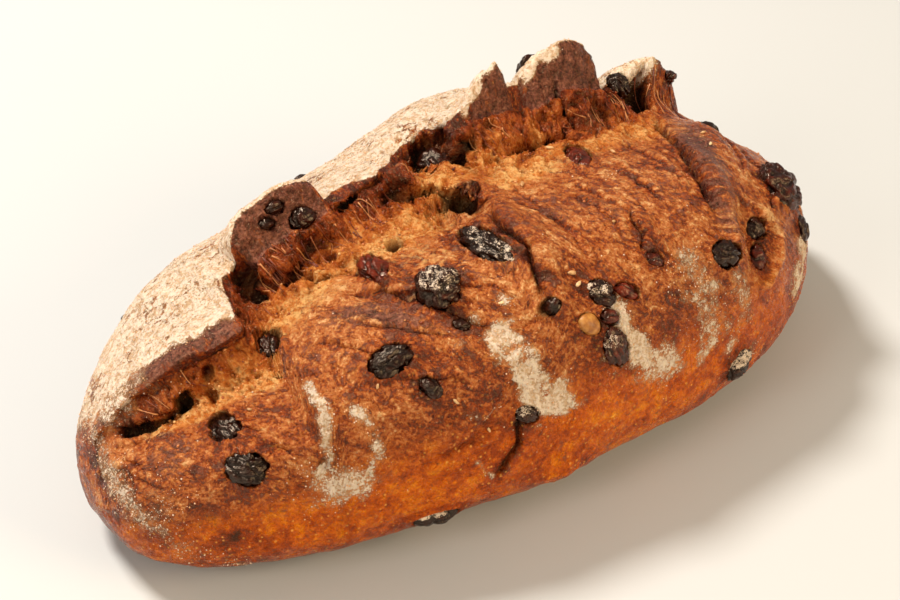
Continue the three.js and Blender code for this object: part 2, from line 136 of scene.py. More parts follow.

# Holes torn in the crumb: x, angle, half length, half width, turn, depth, painted shade
HOLES = (
    (-113, 89, 5.5, 3.2, -35, 5, 0.9), (-101, 84, 3.4, 2.4, 0, 4.5, 0.9), (-80, 24, 2.5, 2, 60, 1.2, 0.5),
    (-68, 98, 4.5, 6, 0, 5.5, 0.8), (-57, 94, 4, 3, 20, 2.5, 0.4), (-30, 87, 3.6, 2.8, 0, 4, 0.8),
    (-19, 97, 5, 3, 0, 4, 0.9), (1, 107, 7.5, 5, 0, 5.5, 1), (-6, 90, 12, 5, -14, 2.5, 0.15),
    (-4, 90, 8, 4, -20, 3, 0.4), (77, 102, 5.5, 4.6, 0, 6.5, 1), (8, 99, 2.4, 5.5, 80, 4, 1),
    (-76, 90, 2.6, 2, 0, 2.5, 0.6), (60, 98, 3, 2, 0, 2.5, 0.6), (-46, 92, 2.6, 2, 0, 2.5, 0.6),
    (-92, 84, 2.6, 1.6, 0, 2.5, 0.6), (20, 101, 2.4, 2, 0, 2.5, 0.6), (-31, 101, 6, 1.6, 10, 3, 1),
)

# How dark the crust, the ears' faces and the back are baked
CRUST_BAKE, FACE_BAKE, BACK_BAKE = 0.54, 0.7, 0.66

# Patches baked darker (above zero) or paler: x, angle, half length, half width, turn, change
BAKE_PATCHES = (
    (-88, 97, 5, 2.5, 0, 0.2), (34, 90, 7, 4, 0, 0.22), (62, 80, 8, 5, 60, 0.12),
    (82, 78, 4, 8, 20, 0.2), (-52, 68, 12, 9, 30, -0.06), (-30, 60, 6, 6, 0, -0.14),
    (-7, 58, 5, 6, 0, -0.16), (20, 78, 14, 7, 0, -0.08), (-86, 76, 12, 4, 0, -0.12),
    (-106, 50, 1.6, 1.6, 0, 0.35), (-108, 45, 1.6, 1.2, 0, 0.35), (54, 74, 1.6, 1.4, 0, 0.3),
    (57, 70, 1.4, 1.2, 0, 0.3), (31, 25, 1.6, 1.4, 0, 0.3), (26, 21, 1.2, 1.2, 0, 0.25),
    (-58, 62, 16, 12, 0, 0.05), (62, 82, 12, 8, 0, -0.06), (-104, 3, 4, 3, 0, 0.2),
    (-102, 68, 9, 8, 0, 0.08), (-122, 75, 4, 16, 0, 0.22), (0, 48, 5, 8, 60, 0.12),
    (-95, 50, 14, 7, 0, 0.05),
)

# Where the torn crumb is paler, and where the skin is purple-brown: x, angle, half sizes, turn, share
TAN_PATCHES = (
    (-98, 80, 12, 4, 0, 0.3), (-6, 84, 10, 4, -14, 0.25), (36, 100, 12, 4, 0, 0.3), (-30, 88, 8, 5, 0, 0.2),
    (-60, 88, 14, 3, 0, 0.25), (-44, 94, 10, 4, 0, 0.1), (82, 100, 8, 5, 0, 0.2), (12, 96, 12, 4, 0, 0.2),
    (52, 96, 8, 4, 0, -0.4), (-26, 76, 9, 6, -30, 0.4), (-37, 67, 8, 4, 0, 0.3), (-85, 80, 8, 5, 0, 0.3),
    (20, 89, 9, 4, 0, 0.3), (-60, 83, 12, 4, 0, 0.3),
)
PURPLE_RIDGE = (74, 76, 20, 4.5, 63)
RIND_PATCHES = (
    (*PURPLE_RIDGE, 0.9), (-44, 58, 16, 4, -50, 0.3), (-70, 66, 14, 5, -30, 0.2),
    (24, 62, 14, 5, -60, 0.2), (36, 89, 6, 4, -20, 0.6), (50, 66, 14, 8, 60, 0.25),
    (-50, 70, 12, 5, -40, 0.35), (-96, 22, 8, 5, 0, 0.2), (-12, 66, 5, 12, 20, 0.35),
    (-112, 62, 9, 7, 0, 0.35), (60, 44, 6, 5, 0, 0.4), (-2, 70, 50, 14, 0, 0.12),
    (-40, 62, 30, 10, -20, 0.12), (-96, 60, 14, 12, 0, 0.1),
)

# Flour: strips as line, half width and strength, and patches as x, angle, half sizes, turn, strength
FLOUR_STRIPS = (
    (((-75, 62), (-74, 46), (-78, 26), (-83, 14)), 1.5, 1),
    (((-69, 46), (-65, 30), (-66, 18), (-74, 8)), 1.6, 1.05),
    (((-25, 48), (-24, 34), (-22, 22), (-20, 12)), 4, 1.5),
    (((9, 40), (10, 26), (14, 14), (24, 5)), 3.4, 1.4),
    (((2, 26), (10, 14), (18, 4)), 4, 0.5),
    (((37, 48), (40, 28), (42, 16), (44, 3)), 6.5, 0.62),
    (((52, 30), (55, 16), (57, 4)), 4, 0.5), (((44, 8), (40, 4), (34, 2)), 3, 0.9),
    (((84, 0), (92, 10), (96, 26)), 5, 1.1),
    (((-42, 21), (-36, 18), (-30, 20)), 0.8, 0.5),
    (((-34, -7), (-41, 3)), 0.8, 0.8),
)
FLOUR_PATCHES = (
    (-76, 12, 9, 6, 0, 1), (-15, 12, 4.5, 5, 0, 2.2), (-22, 16, 5, 5, 0, 1.2), (22, 7, 8, 6, 0, 1),
    (-110, 106, 10, 10, 0, 0.9), (-122, 60, 4, 26, 0, 0.7), (50, 2, 3, 3, 0, 0.8),
    (-116, 30, 6, 6, 0, 0.32), (-36, 45, 3, 2, 0, 0.4), (38, 78, 3, 2, 0, 0.35),
    (78.5, 106.5, 6, 2.4, 0, 1.1), (-19, 52, 1.6, 2.4, 0, 0.8), (-28, 51, 1.4, 1.4, 0, 0.7),
    (57, -6, 6, 5, 0, 0.5),
)
# The floured back, in x and in degrees behind the edge, and the left slopes of the ears
# where flour reaches round the crest: from x, to x
FLOUR_START, FLOUR_END, FLOUR_FOOT = -123, 80, 62
FLOURED_SLOPES = ((36, 52), (12, 24), (68, 84))

# How floury some raisins are, and how red, by their numbers
RAISIN_DUST = {
    6: 0.7, 7: 0.62, 11: 0.7, 14: 0.62, 21: 0.8, 22: 0.72, 23: 0.85, 24: 0.4, 25: 0.25, 31: 0.2,
}
RAISIN_RED = {9: 0.9, 12: 1, 13: 0.7, 14: 0.6, 17: 0.7, 18: 0.5, 24: 0.7, 26: 0.8, 32: 0.5}
LEAST_DUST = 0.15
RAISIN_RINGS, RAISIN_SIDES = 38, 60
KERNEL_RINGS, KERNEL_SIDES = 28, 40

# Fibres of dough on the torn wall: x from, x to, degrees in front of the ear's edge at
# their upper and lower ends, how many
THREAD_FIELDS = (
    (-70, -52, 7, 14, 34), (-52, -34, 9, 15, 12), (-34, -10, 4, 13, 14), (10, 34, 6, 13, 10),
    (34, 62, 8, 15, 12), (66, 92, 2, 12, 30), (-114, -96, 3, 9, 6),
)

# Small pale seeds and bits of husk on the crust: x, angle, turn, length
SEEDS = (
    (4, 40, 0.4, 2.6), (2, 50, 1.2, 2.4), (2, 46, 2, 2.2), (33, 92, 0.9, 2.6), (14, 86, 2.4, 2.4),
    (50, 87, 0.2, 2.2), (80, 82, 1.6, 2), (77, 76, 2.2, 2), (-43, 27, 0.5, 1.8), (-20, 51, 1.1, 1.8),
    (-60, 44, 2.5, 1.6), (-90, 62, 0.7, 1.6), (24, 60, 1.9, 1.8), (-36, 12, 0.3, 1.6),
)

# Points along a fibre and along a crease
THREAD_CORNERS, CREASE_CORNERS = 9, 7

# Looks of the small bits: size of their spots and how far these vary the tone, size of the
# spots of gloss and how far these vary the roughness, least roughness
THREAD_LOOK = (1.2, 0.8, 0.8, 0.4, 0.2)
CRUMB_LOOK = (0.8, 0.6, 0.8, 0.5, 0.2)
HUSK_LOOK = (0.7, 0.8, 0.6, 0.3, 0.3)
SEED_SHAPE = (0.5, 0.24, 0.16)

# Crumbs and grains of flour: how many, the least half size and how much more it can be
CRUMB_COUNT, CRUMB_SIZE, CRUMB_MORE = 1500, 0.14, 0.34
GRAIN_COUNT, GRAIN_SIZE, GRAIN_MORE = 9000, 0.1, 0.22
THREAD_DICE, CRUMB_DICE, GRAIN_DICE, SEED_DICE = 5, 11, 12, 13
GRAIN_CORNERS = ((1, 0, 0), (-1, 0, 0), (0, 1, 0), (0, -1, 0), (0, 0, 1), (0, 0, -1))
GRAIN_FACES = ((0, 2, 4), (2, 1, 4), (1, 3, 4), (3, 0, 4), (2, 0, 5), (1, 2, 5), (3, 1, 5), (0, 3, 5))

# Camera as the photograph was taken: degrees, millimetres, and metres for what it clips
AZIMUTH, ELEVATION, DISTANCE = -36.1, 38.3, 624
TARGET = (-7.4, -2.4, 39.2)
LENS, SENSOR = 85, 36
CLIP_NEAR, CLIP_FAR = 0.01, 20

# The floor and the lights, in metres and watts: name, place, size, power, colour
FLOOR_HALF, LIT_POINT = 3, (0, 0, 0.04)
LIGHTS = (
    ("key", (-0.3, 0.55, 1.1), 0.3, 17.5, (1, 0.95, 0.88)),
    ("side", (-1, -0.2, 0.7), 0.5, 4, (1, 0.92, 0.82)),
    ("fill", (0.6, -1.2, 0.7), 0.8, 14, (1, 0.8, 0.5)),
)
WORLD_COLOUR, WORLD_STRENGTH = (1, 0.95, 0.88, 1), 0.36

# The grid: stations along the loaf, columns round it in each of three bands, where these
# start and end in degrees, the step that tells its directions, and the paints of its points
STATIONS = 556
FRONT_COLUMNS, TOP_COLUMNS, BACK_COLUMNS = 176, 176, 176
FRONT_START, TOP_START, TOP_END = -32, -45, 25
AXIS_STEP = 0.4
# One of the paints holds painted shade in holes, grooves, pits and the gaps round raisins
PAINTS = ("bake", "flour", "crumb", "tan", "painted_shade", "low", "rind")


def smooth(t):
    """Eased step from 0 to 1 while t goes from 0 to 1."""
    t = np.clip(t, 0, 1)
    return t * t * (3 - 2 * t)


def bell(distance, width=1):
    """1 in the middle, next to nothing at twice the width."""
    return np.exp(-((distance / width) ** 2))


def signed_power(value, power):
    return np.sign(value) * np.abs(value) ** power


def unit(vectors):
    return vectors / np.maximum(np.linalg.norm(vectors, axis=-1, keepdims=True), 1e-9)


def dot(a, b):
    return np.sum(a * b, axis=-1)


def along(points, x):
    """Value at x on a curve through its turning points, eased from one to the next."""
    xs, values = np.array(points, float).T
    k = np.clip(np.searchsorted(xs, x) - 1, 0, len(xs) - 2)
    return values[k] + (values[k + 1] - values[k]) * smooth((x - xs[k]) / (xs[k + 1] - xs[k]))


def fullness(x):
    """Share of the full section left at x."""
    share = np.abs(2 * x / LENGTH)
    blunt = np.clip(1 - share ** BLUNT_END[0], 0, 1) ** (1 / BLUNT_END[1])
    slim = np.clip(1 - share ** SLIM_END[0], 0, 1) ** (1 / SLIM_END[1])
    return np.where(x < 0, blunt, slim)


def plain_points(x, angle):
    """Points of the loaf before it was slashed."""
    x, angle = np.broadcast_arrays(np.asarray(x, float), np.radians(angle))
    end_share = (2 * x / LENGTH) ** 2
    full = fullness(x)
    c, s = np.cos(angle), np.sin(angle)
    rise = np.where(s > 0, (HEIGHT - WAIST) * full, WAIST * UNDERSIDE * full)
    roundness = np.where(s > 0, UPPER_ROUND, LOWER_ROUND)
    y = -WIDTH / 2 * full * signed_power(c, roundness) - SIDE_BOW * (SIDE_BOW_MIDDLE - end_share)
    z = WAIST * (1 - END_DROOP * end_share) + rise * signed_power(s, roundness)
    return np.stack([x, y, np.maximum(z, 0)], axis=-1)


def ball(rings, around):
    """Points and faces of a ball of radius 1."""
    polar = np.linspace(0, np.pi, rings + 2)[1:-1, None]
    turn = np.linspace(0, 2 * np.pi, around, endpoint=False)[None, :]
    level = np.sin(polar)
    points = np.stack([level * np.cos(turn), level * np.sin(turn), np.cos(polar) + 0 * turn], -1)
    points = np.vstack([points.reshape(-1, 3), [[0, 0, 1], [0, 0, -1]]])
    top, bottom, last = rings * around, rings * around + 1, (rings - 1) * around
    faces = []
    for k in range(around):
        after = (k + 1) % around
        for ring in range(rings - 1):
            a, b = ring * around + k, ring * around + after
            faces.append((a, a + around, b + around, b))
        faces.append((top, k, after))
        faces.append((bottom, last + after, last + k))
    return points, faces


def surface_axes(x, angle):
    """Unit directions out of the plain loaf, along it, and round it towards the back."""
    lengthwise = plain_points(x + AXIS_STEP, angle) - plain_points(x - AXIS_STEP, angle)
    around = plain_points(x, angle + AXIS_STEP) - plain_points(x, angle - AXIS_STEP)
    out = unit(np.cross(lengthwise, around))
    lengthwise = unit(np.array([1.0, 0, 0]) - out * out[..., :1])
    return out, lengthwise, np.cross(out, lengthwise)


def ear_share(ear, x):
    reach = np.where(x < ear["tip"], ear["tip"] - ear["from"], ear["end"] - ear["tip"])
    away = np.clip(np.abs(x - ear["tip"]) / reach, 0, 1)
    return (1 - away ** ear["round"]) ** (1 / ear["round"])


def slash_share(x):
    return smooth((x - SLASH_START) / SLASH_FADE) * smooth((SLASH_END - x) / SLASH_FADE)


def slash_relief(x, behind):
    """Height over the plain loaf at the slash, pull forwards over it, height and face of the ear."""
    share = slash_share(x)
    height = TORN_EDGE_HEIGHT * share
    skin = np.full_like(x, TORN_SKIN)
    face = np.full_like(x, TORN_FACE_SPAN)
    lean = np.zeros_like(x)
    for ear in EARS:
        part = ear_share(ear, x)
        higher = ear["height"] * part > height
        height = np.where(higher, ear["height"] * part, height)
        skin = np.where(higher, ear["skin"], skin)
        face = np.where(higher, ear["face"], face)
        lean = np.where(higher, ear["lean"] * part, lean)
    wall = (1 - EAR_FOOT_SHARE) * bell(behind, skin)
    back = height * (EAR_FOOT_SHARE * (1 - smooth(behind / EAR_FOOT_SPAN)) + wall)
    front, foot, floor = -behind, FACE_FOOT * height, -SLASH_DEPTH * share
    down = smooth(front / face)
    face_out = height + (foot - height) * down
    wall_out = foot + (floor - foot) * smooth((front - face) / (WALL_SPAN - face))
    bloom_out = floor * (1 - smooth((front - WALL_SPAN) / BLOOM_SPAN))
    out = np.select([behind >= 0, front < face, front < WALL_SPAN], [back, face_out, wall_out], bloom_out)
    forward = np.select([behind >= 0, front < face], [lean * wall, lean * (1 - down)], 0)
    return out, forward, height, face


def make_stations():
    """Places along the loaf, evenly spaced along its outline seen from above."""
    fine = -LENGTH / 2 * np.cos(np.linspace(0, np.pi, 8001))
    width = WIDTH / 2 * fullness(fine)
    lengths = np.concatenate([[0], np.cumsum(np.hypot(np.diff(fine), np.diff(width)))])
    return np.interp(np.linspace(0, lengths[-1], STATIONS + 2)[1:-1], lengths, fine)


def make_angles(edge):
    """Angles round each station, in the three bands, from under the front edge round to it again."""
    def band(low, high, columns):
        share = np.linspace(0, 1, columns, endpoint=False)
        return low[:, None] + (high - low)[:, None] * share
    start = np.full_like(edge, FRONT_START)
    return np.concatenate([
        band(start, edge + TOP_START, FRONT_COLUMNS),
        band(edge + TOP_START, edge + TOP_END, TOP_COLUMNS),
        band(edge + TOP_END, start + 360, BACK_COLUMNS),
    ], axis=1)


stations = make_stations()
X, ANGLE = np.broadcast_arrays(stations[:, None], make_angles(along(EAR_EDGE, stations)))
GRID = X.shape
X, ANGLE = X.ravel(), ANGLE.ravel()
PLAIN = plain_points(X, ANGLE)
OUT, _, ROUND = surface_axes(X, ANGLE)
BEHIND = ANGLE - along(EAR_EDGE, X)
ON_TOP = PLAIN[:, 2] > 0


def noise_at(points, size, octaves=1, seed=0.0):
    """Smooth noise about -1 to 1, with bumps of about size millimetres."""
    places = (points / size + (seed, 2 * seed, 3 * seed)).tolist()
    if octaves == 1:
        return np.array([noise.noise(p) for p in places])
    return np.array([noise.fractal(p, 0.8, 2.1, octaves) for p in places])


def bend_at(points, size, seed):
    """Three noises side by side, to bend what another noise draws."""
    return np.stack([noise_at(points, size, 2, seed + k) for k in range(3)], axis=1)


def pits_at(points, size, chance, seed, width):
    """Share of depth of round pits about size millimetres apart, at some of the places only."""
    depth = np.zeros(len(points))
    for k, p in enumerate((points / size + (seed, 2 * seed, 3 * seed)).tolist()):
        distances, places = noise.voronoi(p)
        if distances[0] < width and noise.cell(places[0] * 31.7) < chance:
            depth[k] = 1 - distances[0] / width
    return smooth(depth)


def near(x, angle, reach):
    """Which points lie within reach of a place, and their offset from it along and round the loaf."""
    centre = plain_points(x, angle)
    _, lengthwise, around = surface_axes(np.float64(x), np.float64(angle))
    offset = PLAIN - centre
    close = np.flatnonzero(dot(offset, offset) < reach ** 2)
    return close, offset[close] @ lengthwise, offset[close] @ around


def oval(x, angle, long, wide, turn, reach=3.0):
    """Points near an oval place, and how far out each lies as a share of the oval."""
    close, u, v = near(x, angle, reach * max(long, wide))
    c, s = math.cos(math.radians(turn)), math.sin(math.radians(turn))
    return close, np.hypot((u * c + v * s) / long, (v * c - u * s) / wide)


def beside(line, reach):
    """Points near a line: distance, side (left is positive), share of its length, way to the left."""
    corners = plain_points(*np.array(line, float).T)
    steps = np.linalg.norm(np.diff(corners, axis=0), axis=1)
    middle = (corners.min(0) + corners.max(0)) / 2
    radius = np.linalg.norm(corners - middle, axis=1).max() + reach
    close = np.flatnonzero(dot(PLAIN - middle, PLAIN - middle) < radius ** 2)
    points, out = PLAIN[close], OUT[close]
    distance = np.full(len(close), np.inf)
    side, share = np.zeros(len(close)), np.zeros(len(close))
    across = np.zeros((len(close), 3))
    for k, step in enumerate(steps):
        way = (corners[k + 1] - corners[k]) / step
        part = np.clip((points - corners[k]) @ way, 0, step)
        offset = points - corners[k] - part[:, None] * way
        gap = np.linalg.norm(offset, axis=1)
        closer = gap < distance
        distance = np.where(closer, gap, distance)
        left = unit(np.cross(out, way))
        across = np.where(closer[:, None], left, across)
        side = np.where(closer, dot(offset, left), side)
        share = np.where(closer, (steps[:k].sum() + part) / steps.sum(), share)
    kept = distance < reach
    return close[kept], distance[kept], side[kept], share[kept], across[kept]


def grid_normals(points):
    """Outward directions of the grid of points."""
    grid = points.reshape(*GRID, 3)
    lengthwise = np.gradient(grid, axis=0)
    around = np.roll(grid, -1, axis=1) - np.roll(grid, 1, axis=1)
    return unit(np.cross(lengthwise, around)).reshape(-1, 3)


class Skin:
    """Heights, sideways pulls and paints of every point of the crust."""

    def __init__(self):
        self.height = np.zeros(len(X))
        self.pull = np.zeros((len(X), 3))
        self.paint = {name: np.zeros(len(X)) for name in PAINTS}

    def deepen(self, name, at, amount):
        """Raises a paint to the amount where there is less of it."""
        self.paint[name][at] = np.maximum(self.paint[name][at], amount)

    def push(self, at, amount):
        """Moves points along the outward direction that they had after the first shaping."""
        self.pull[at] += NORMALS[at] * amount[:, None]

    def points(self):
        """The crust's points, kept off the floor and unchanged in the flat foot."""
        points = PLAIN + OUT * self.height[:, None] + self.pull
        points[~ON_TOP] = PLAIN[~ON_TOP]
        points[:, 2] = np.maximum(points[:, 2], 0)
        return points


skin = Skin()


def raise_slash():
    """The slash, its ears and its torn edge."""
    stretched = PLAIN * (1, 0.2, 0.2)
    ragged = 1.1 * noise_at(stretched, 6, 2) * slash_share(X)
    behind = BEHIND + ragged * bell(BEHIND, 8)
    out, forward, ear, face = slash_relief(X, behind)
    uneven = 0.35 * noise_at(stretched, 3.5, 2, 5.0)
    uneven *= slash_share(X) * bell(behind, 5)
    skin.height += out + uneven
    skin.pull -= ROUND * forward[:, None]
    return behind, ear, face


def add_hollows():
    for *place, depth in HOLLOWS:
        close, share = oval(*place)
        skin.height[close] -= depth * bell(share)


def add_folds():
    for line, step, reach in FOLDS:
        at, distance, side, _, _ = beside(line, 3 * reach)
        skin.height[at] += step * bell(distance, reach) * (0.5 + 0.5 * np.tanh(side))


def taper(share, ends=0.2):
    """Fades a line out towards both of its ends."""
    return smooth(share / ends) * smooth((1 - share) / ends)


def add_laps():
    """Steps the skin along each lap, pulls its brow over the groove and paints shade into the groove."""
    for line, step, reach, lap, groove, painted_shade in LAPS:
        at, distance, side, share, across = beside(line, 3 * reach)
        toward = math.copysign(1, lap) * side
        skin.height[at] += step * bell(distance, reach) * taper(share) * (0.5 + 0.5 * np.tanh(side / 0.7))
        wide, gap = 0.7 + 0.3 * abs(lap), 0.5 + 0.6 * abs(lap)
        brow = bell(toward - 0.8, 1.3) * taper(share)
        skin.pull[at] -= across * (lap * brow)[:, None]
        foot = bell(toward + gap, wide) * taper(share)
        skin.height[at] -= groove * foot
        # Painted shade in the groove, and darker bake beside it as more painted shade
        skin.deepen("painted_shade", at, painted_shade * foot)
        skin.paint["bake"][at] += 0.25 * painted_shade * bell(toward + 1, 2.5) * taper(share)


def add_creases():
    """A groove along each crease with a low swelling beside it, painted shade in it and paler on the
    swelling.
    """
    share = np.linspace(0, 1, CREASE_CORNERS)
    for x, angle, ahead, turn, bow, width, painted_shade in CREASES:
        line = np.stack([x + ahead * share + bow * np.sin(np.pi * share), angle + turn * share], axis=1)
        at, _, side, share_along, _ = beside(line, 5 * width)
        side = side + 0.9 * noise_at(PLAIN[at], 5, 2, 50.0)
        fade = taper(share_along, 0.3)
        skin.height[at] += fade * 0.9 * width * bell(side - 1.7 * width, 1.3 * width)
        skin.height[at] -= fade * 0.8 * width * bell(side, width)
        # Painted shade along the groove
        skin.paint["bake"][at] += fade * painted_shade * bell(side, 1.5 * width)
        skin.paint["bake"][at] -= fade * 0.5 * painted_shade * bell(side - 2.2 * width, 1.5 * width)


def add_ridges():
    for line, height, width in RIDGES:
        at, distance, _, share, _ = beside(line, 4 * width)
        crest = height * bell(distance, width) * taper(share)
        skin.height[at] += crest
        skin.paint["bake"][at] -= 0.08 * crest


def add_holes():
    for *place, depth, painted_shade in HOLES:
        close, share = oval(*place, reach=2)
        ragged = share + 0.3 * noise_at(PLAIN[close], 2.0, 2, place[0])
        inside = 1 - smooth((ragged - 0.5) / 0.5)
        skin.push(close, -depth * inside)
        # Painted shade inside each hole
        skin.deepen("painted_shade", close, painted_shade * inside)


def arc_from_edge():
    """Millimetres round the plain loaf from the ear's edge, for threads that run across the slash."""
    grid = PLAIN.reshape(*GRID, 3)
    steps = np.linalg.norm(np.diff(grid, axis=1), axis=2)
    arc = np.concatenate([np.zeros((GRID[0], 1)), np.cumsum(steps, axis=1)], axis=1)
    edge = np.argmin(np.abs(BEHIND.reshape(GRID)), axis=1)
    return (arc - arc[np.arange(GRID[0]), edge][:, None]).ravel()


behind, EAR, FACE = raise_slash()
BELOW_CREST = EAR - skin.height
add_hollows()
add_folds()
add_laps()
add_creases()
add_ridges()

# Degrees in front of the edge, and shares of the torn wall, smooth faces, bloom and low front.
# The last ear is torn down from its crest, so it has no smooth face.
FRONT = -behind
SLASHED = slash_share(X)
WALL_END = TORN_END + TORN_WANDER * noise_at(PLAIN * (1, 0, 0), 9, 2, 21.0)
SMOOTH_FACE = FACE * (1 - 0.95 * smooth((X - 65) / 4))
PAST_FACE = smooth((FRONT - SMOOTH_FACE + 0.5) / 1.5)
TORN = SLASHED * PAST_FACE * (1 - smooth((FRONT - WALL_END) / 6))
FIN = smooth((EAR - 6) / 4) * smooth((FRONT + 1.5) / 1.5) * (1 - PAST_FACE)
BLOOM = smooth((ANGLE - 15) / 30) * smooth((FRONT - 8) / 8)
LOW = 1 - smooth((ANGLE - 2) / 26)
FIRST_EAR = smooth((X + 124) / 6) * (1 - smooth((X + 82) / 8))

# The shape so far, and the coordinates for streaks and fibres, which run across the slash
BASE = skin.points()
NORMALS = grid_normals(BASE)
ARC = arc_from_edge()
BLOOM_ARC = np.clip(ARC + 16, -90, 0)
FLOW = np.stack([X + 0.4 * BLOOM_ARC, 0.42 * ARC + 0.35 * BLOOM_ARC, 0.42 * BASE[:, 2]], axis=1)


def ridged(values, sharpness):
    """Turns smooth noise into narrow ridges, 1 on their crests."""
    return np.clip(1 - sharpness * np.abs(values), -1, 1)


def tear_wall():
    """Webs, fibres and cavities of the dough where it tore open."""
    at = np.flatnonzero(TORN > 0.01)
    places, flow, torn = BASE[at], FLOW[at], TORN[at]
    bend = bend_at(places, 6, 30.0)
    webs = ridged(noise_at(flow + 1.8 * bend, 3.0, 2, 33.0), 1.8)
    lumps = noise_at(places + 2 * bend, 6, 2, 34.0)
    fibres = ridged(noise_at(flow + 1.7 * bend, 1.3, 2, 35.0), 1.6)
    big = pits_at(places * (1, 0.7, 0.7) + 2 * bend, 5.5, 0.45, 36.0, 0.5)
    small = pits_at(places + bend, 2.4, 0.6, 37.0, 0.5)
    upper = 0.35 + 0.65 * smooth((EAR[at] - 1) / 4)
    relief = 0.9 * webs + 1.2 * lumps + 0.42 * fibres - 3.2 * big * upper - 1.0 * small * upper
    skin.push(at, torn * relief)
    # Painted shade in the pits, more of it in the upper wall
    skin.paint["painted_shade"][at] += torn * upper * (0.75 * big + 0.3 * small)
    return at, webs, fibres


def wrinkle_crust():
    """Broad lumps, wrinkles, blisters and fine grain of the baked skin."""
    skin.height += 0.7 * noise_at(PLAIN, 26, 2) + 0.4 * noise_at(PLAIN, 9, 2, 1.0)
    at = np.flatnonzero((ANGLE > -25) & (BEHIND < 75))
    places, flow = BASE[at], FLOW[at]
    bend = bend_at(places, 12, 40.0)
    close, share = oval(*PURPLE_RIDGE)
    calm = np.zeros(len(X))
    calm[close] = bell(share)
    bloom = (BLOOM * (1 - TORN) * (1 - 0.8 * calm))[at]
    bands = ridged(noise_at(flow + 4 * bend, 6.5, 1, 47.0), 1.6)
    wrinkles = ridged(noise_at(flow + 3 * bend, 3.2, 2, 43.0), 1.6)
    creases = ridged(noise_at(flow + 2 * bend, 1.5, 2, 46.0), 2.0)
    grain = noise_at(places, 1.6, 2, 44.0)
    blisters = pits_at(places, 2.6, 0.45, 45.0, 0.42)
    free = (1 - TORN[at]) * (1 - 0.6 * FIN[at])
    relief = bloom * (0.5 * bands + 0.22 * wrinkles + 0.09 * creases)
    relief += free * (0.12 * grain + 0.28 * blisters)
    skin.push(at, relief + 0.6 * FIN[at] * noise_at(places, 2.0, 2, 48.0))
    return at, bands, wrinkles, creases, blisters


add_holes()
torn_at, webs, fibres = tear_wall()
crust_at, bands, wrinkles, creases, blisters = wrinkle_crust()
SHAPE = skin.points()
NORMALS = grid_normals(SHAPE)


Morsel = namedtuple("Morsel", "name middle axes half")


def morsel_frame(name):
    """Middle, unit axes and half sizes of a raisin or kernel, the last axis out of the crust."""
    points = np.array([v.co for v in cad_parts[name].data.vertices]) / MM
    points = np.unique(points.round(4), axis=0)
    middle = (points.max(0) + points.min(0)) / 2
    _, axes = np.linalg.eigh(np.cov((points - middle).T))
    nearest = np.argmin(dot(SHAPE - middle, SHAPE - middle))
    outward = np.argmax(np.abs(axes.T @ NORMALS[nearest]))
    axes = np.roll(axes, 2 - outward, axis=1)
    axes[:, 2] *= np.sign(axes[:, 2] @ NORMALS[nearest])
    axes[:, 0] = np.cross(axes[:, 1], axes[:, 2])
    local = (points - middle) @ axes
    half = np.ptp(local, axis=0) / 2
    middle = middle + axes @ (local.max(0) + local.min(0)) / 2
    return Morsel(name, middle, axes, half)


MORSELS = [morsel_frame(name) for name in sorted(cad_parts) if name != "loaf"]


def sink_pockets():
    """Presses the crust under each raisin and kernel and laps its torn rim over them."""
    for _, middle, axes, half in MORSELS:
        offset = SHAPE - middle
        close = np.flatnonzero(dot(offset, offset) < (2.2 * half.max()) ** 2)
        local = offset[close] @ axes
        share = np.hypot(local[:, 0] / half[0], local[:, 1] / half[1])
        ragged = noise_at(SHAPE[close], 3.0, 3, half[0])
        facing = smooth((NORMALS[close] @ axes[:, 2] - 0.1) / 0.4)
        facing *= np.abs(local[:, 2]) < 2 * half[2]
        inside = (1 - smooth((share + 0.3 * ragged - 0.74) / 0.24)) * facing
        rim = bell(share - 1.16, 0.17) * facing
        inward = -unit(local * (1, 1, 0)) @ axes.T
        lapped = rim * (0.4 + 1.6 * np.clip(ragged + 0.15, 0, 1)) * min(1, half[:2].min() / 4.5) ** 3
        sunk = (0.13 * half[1] * rim - (half[2] + 1) * inside)[:, None] * axes[:, 2]
        skin.pull[close] += sunk + inward * lapped[:, None]
        # Painted shade in the gap round each raisin and kernel
        skin.deepen("painted_shade", close, 0.85 * bell(share + 0.1 * ragged - 0.93, 0.12) * facing)
        skin.paint["bake"][close] += 0.12 * bell(share - 1.3, 0.35) * facing


sink_pockets()


def paint_bake():
    """How dark the crust is baked, from pale crumb at 0 to almost black at 1."""
    bake = skin.paint["bake"]
    bake += CRUST_BAKE + 0.03 * BLOOM
    bake += 0.12 * noise_at(PLAIN, 24, 2, 11.0) + 0.1 * noise_at(FLOW, 5, 2, 12.0)
    bake[crust_at] -= BLOOM[crust_at] * (0.10 * bands + 0.06 * wrinkles + 0.04 * creases) + 0.16 * blisters
    for *place, change in BAKE_PATCHES:
        close, share = oval(*place)
        uneven = 1 + 0.5 * noise_at(PLAIN[close], 4, 2, 18.0)
        bake[close] += change * bell(share, np.maximum(uneven, 0.3))
    bake += -0.06 * SLASH_FLOOR
    rind = SLASHED * smooth((FRONT + 1) / 1.5) * (1 - smooth((FRONT - FACE + 0.5) / 1.5))
    bake += (FACE_BAKE - bake) * rind
    bake += (BACK_BAKE - bake) * smooth((BEHIND + 1) / 4) * SLASHED


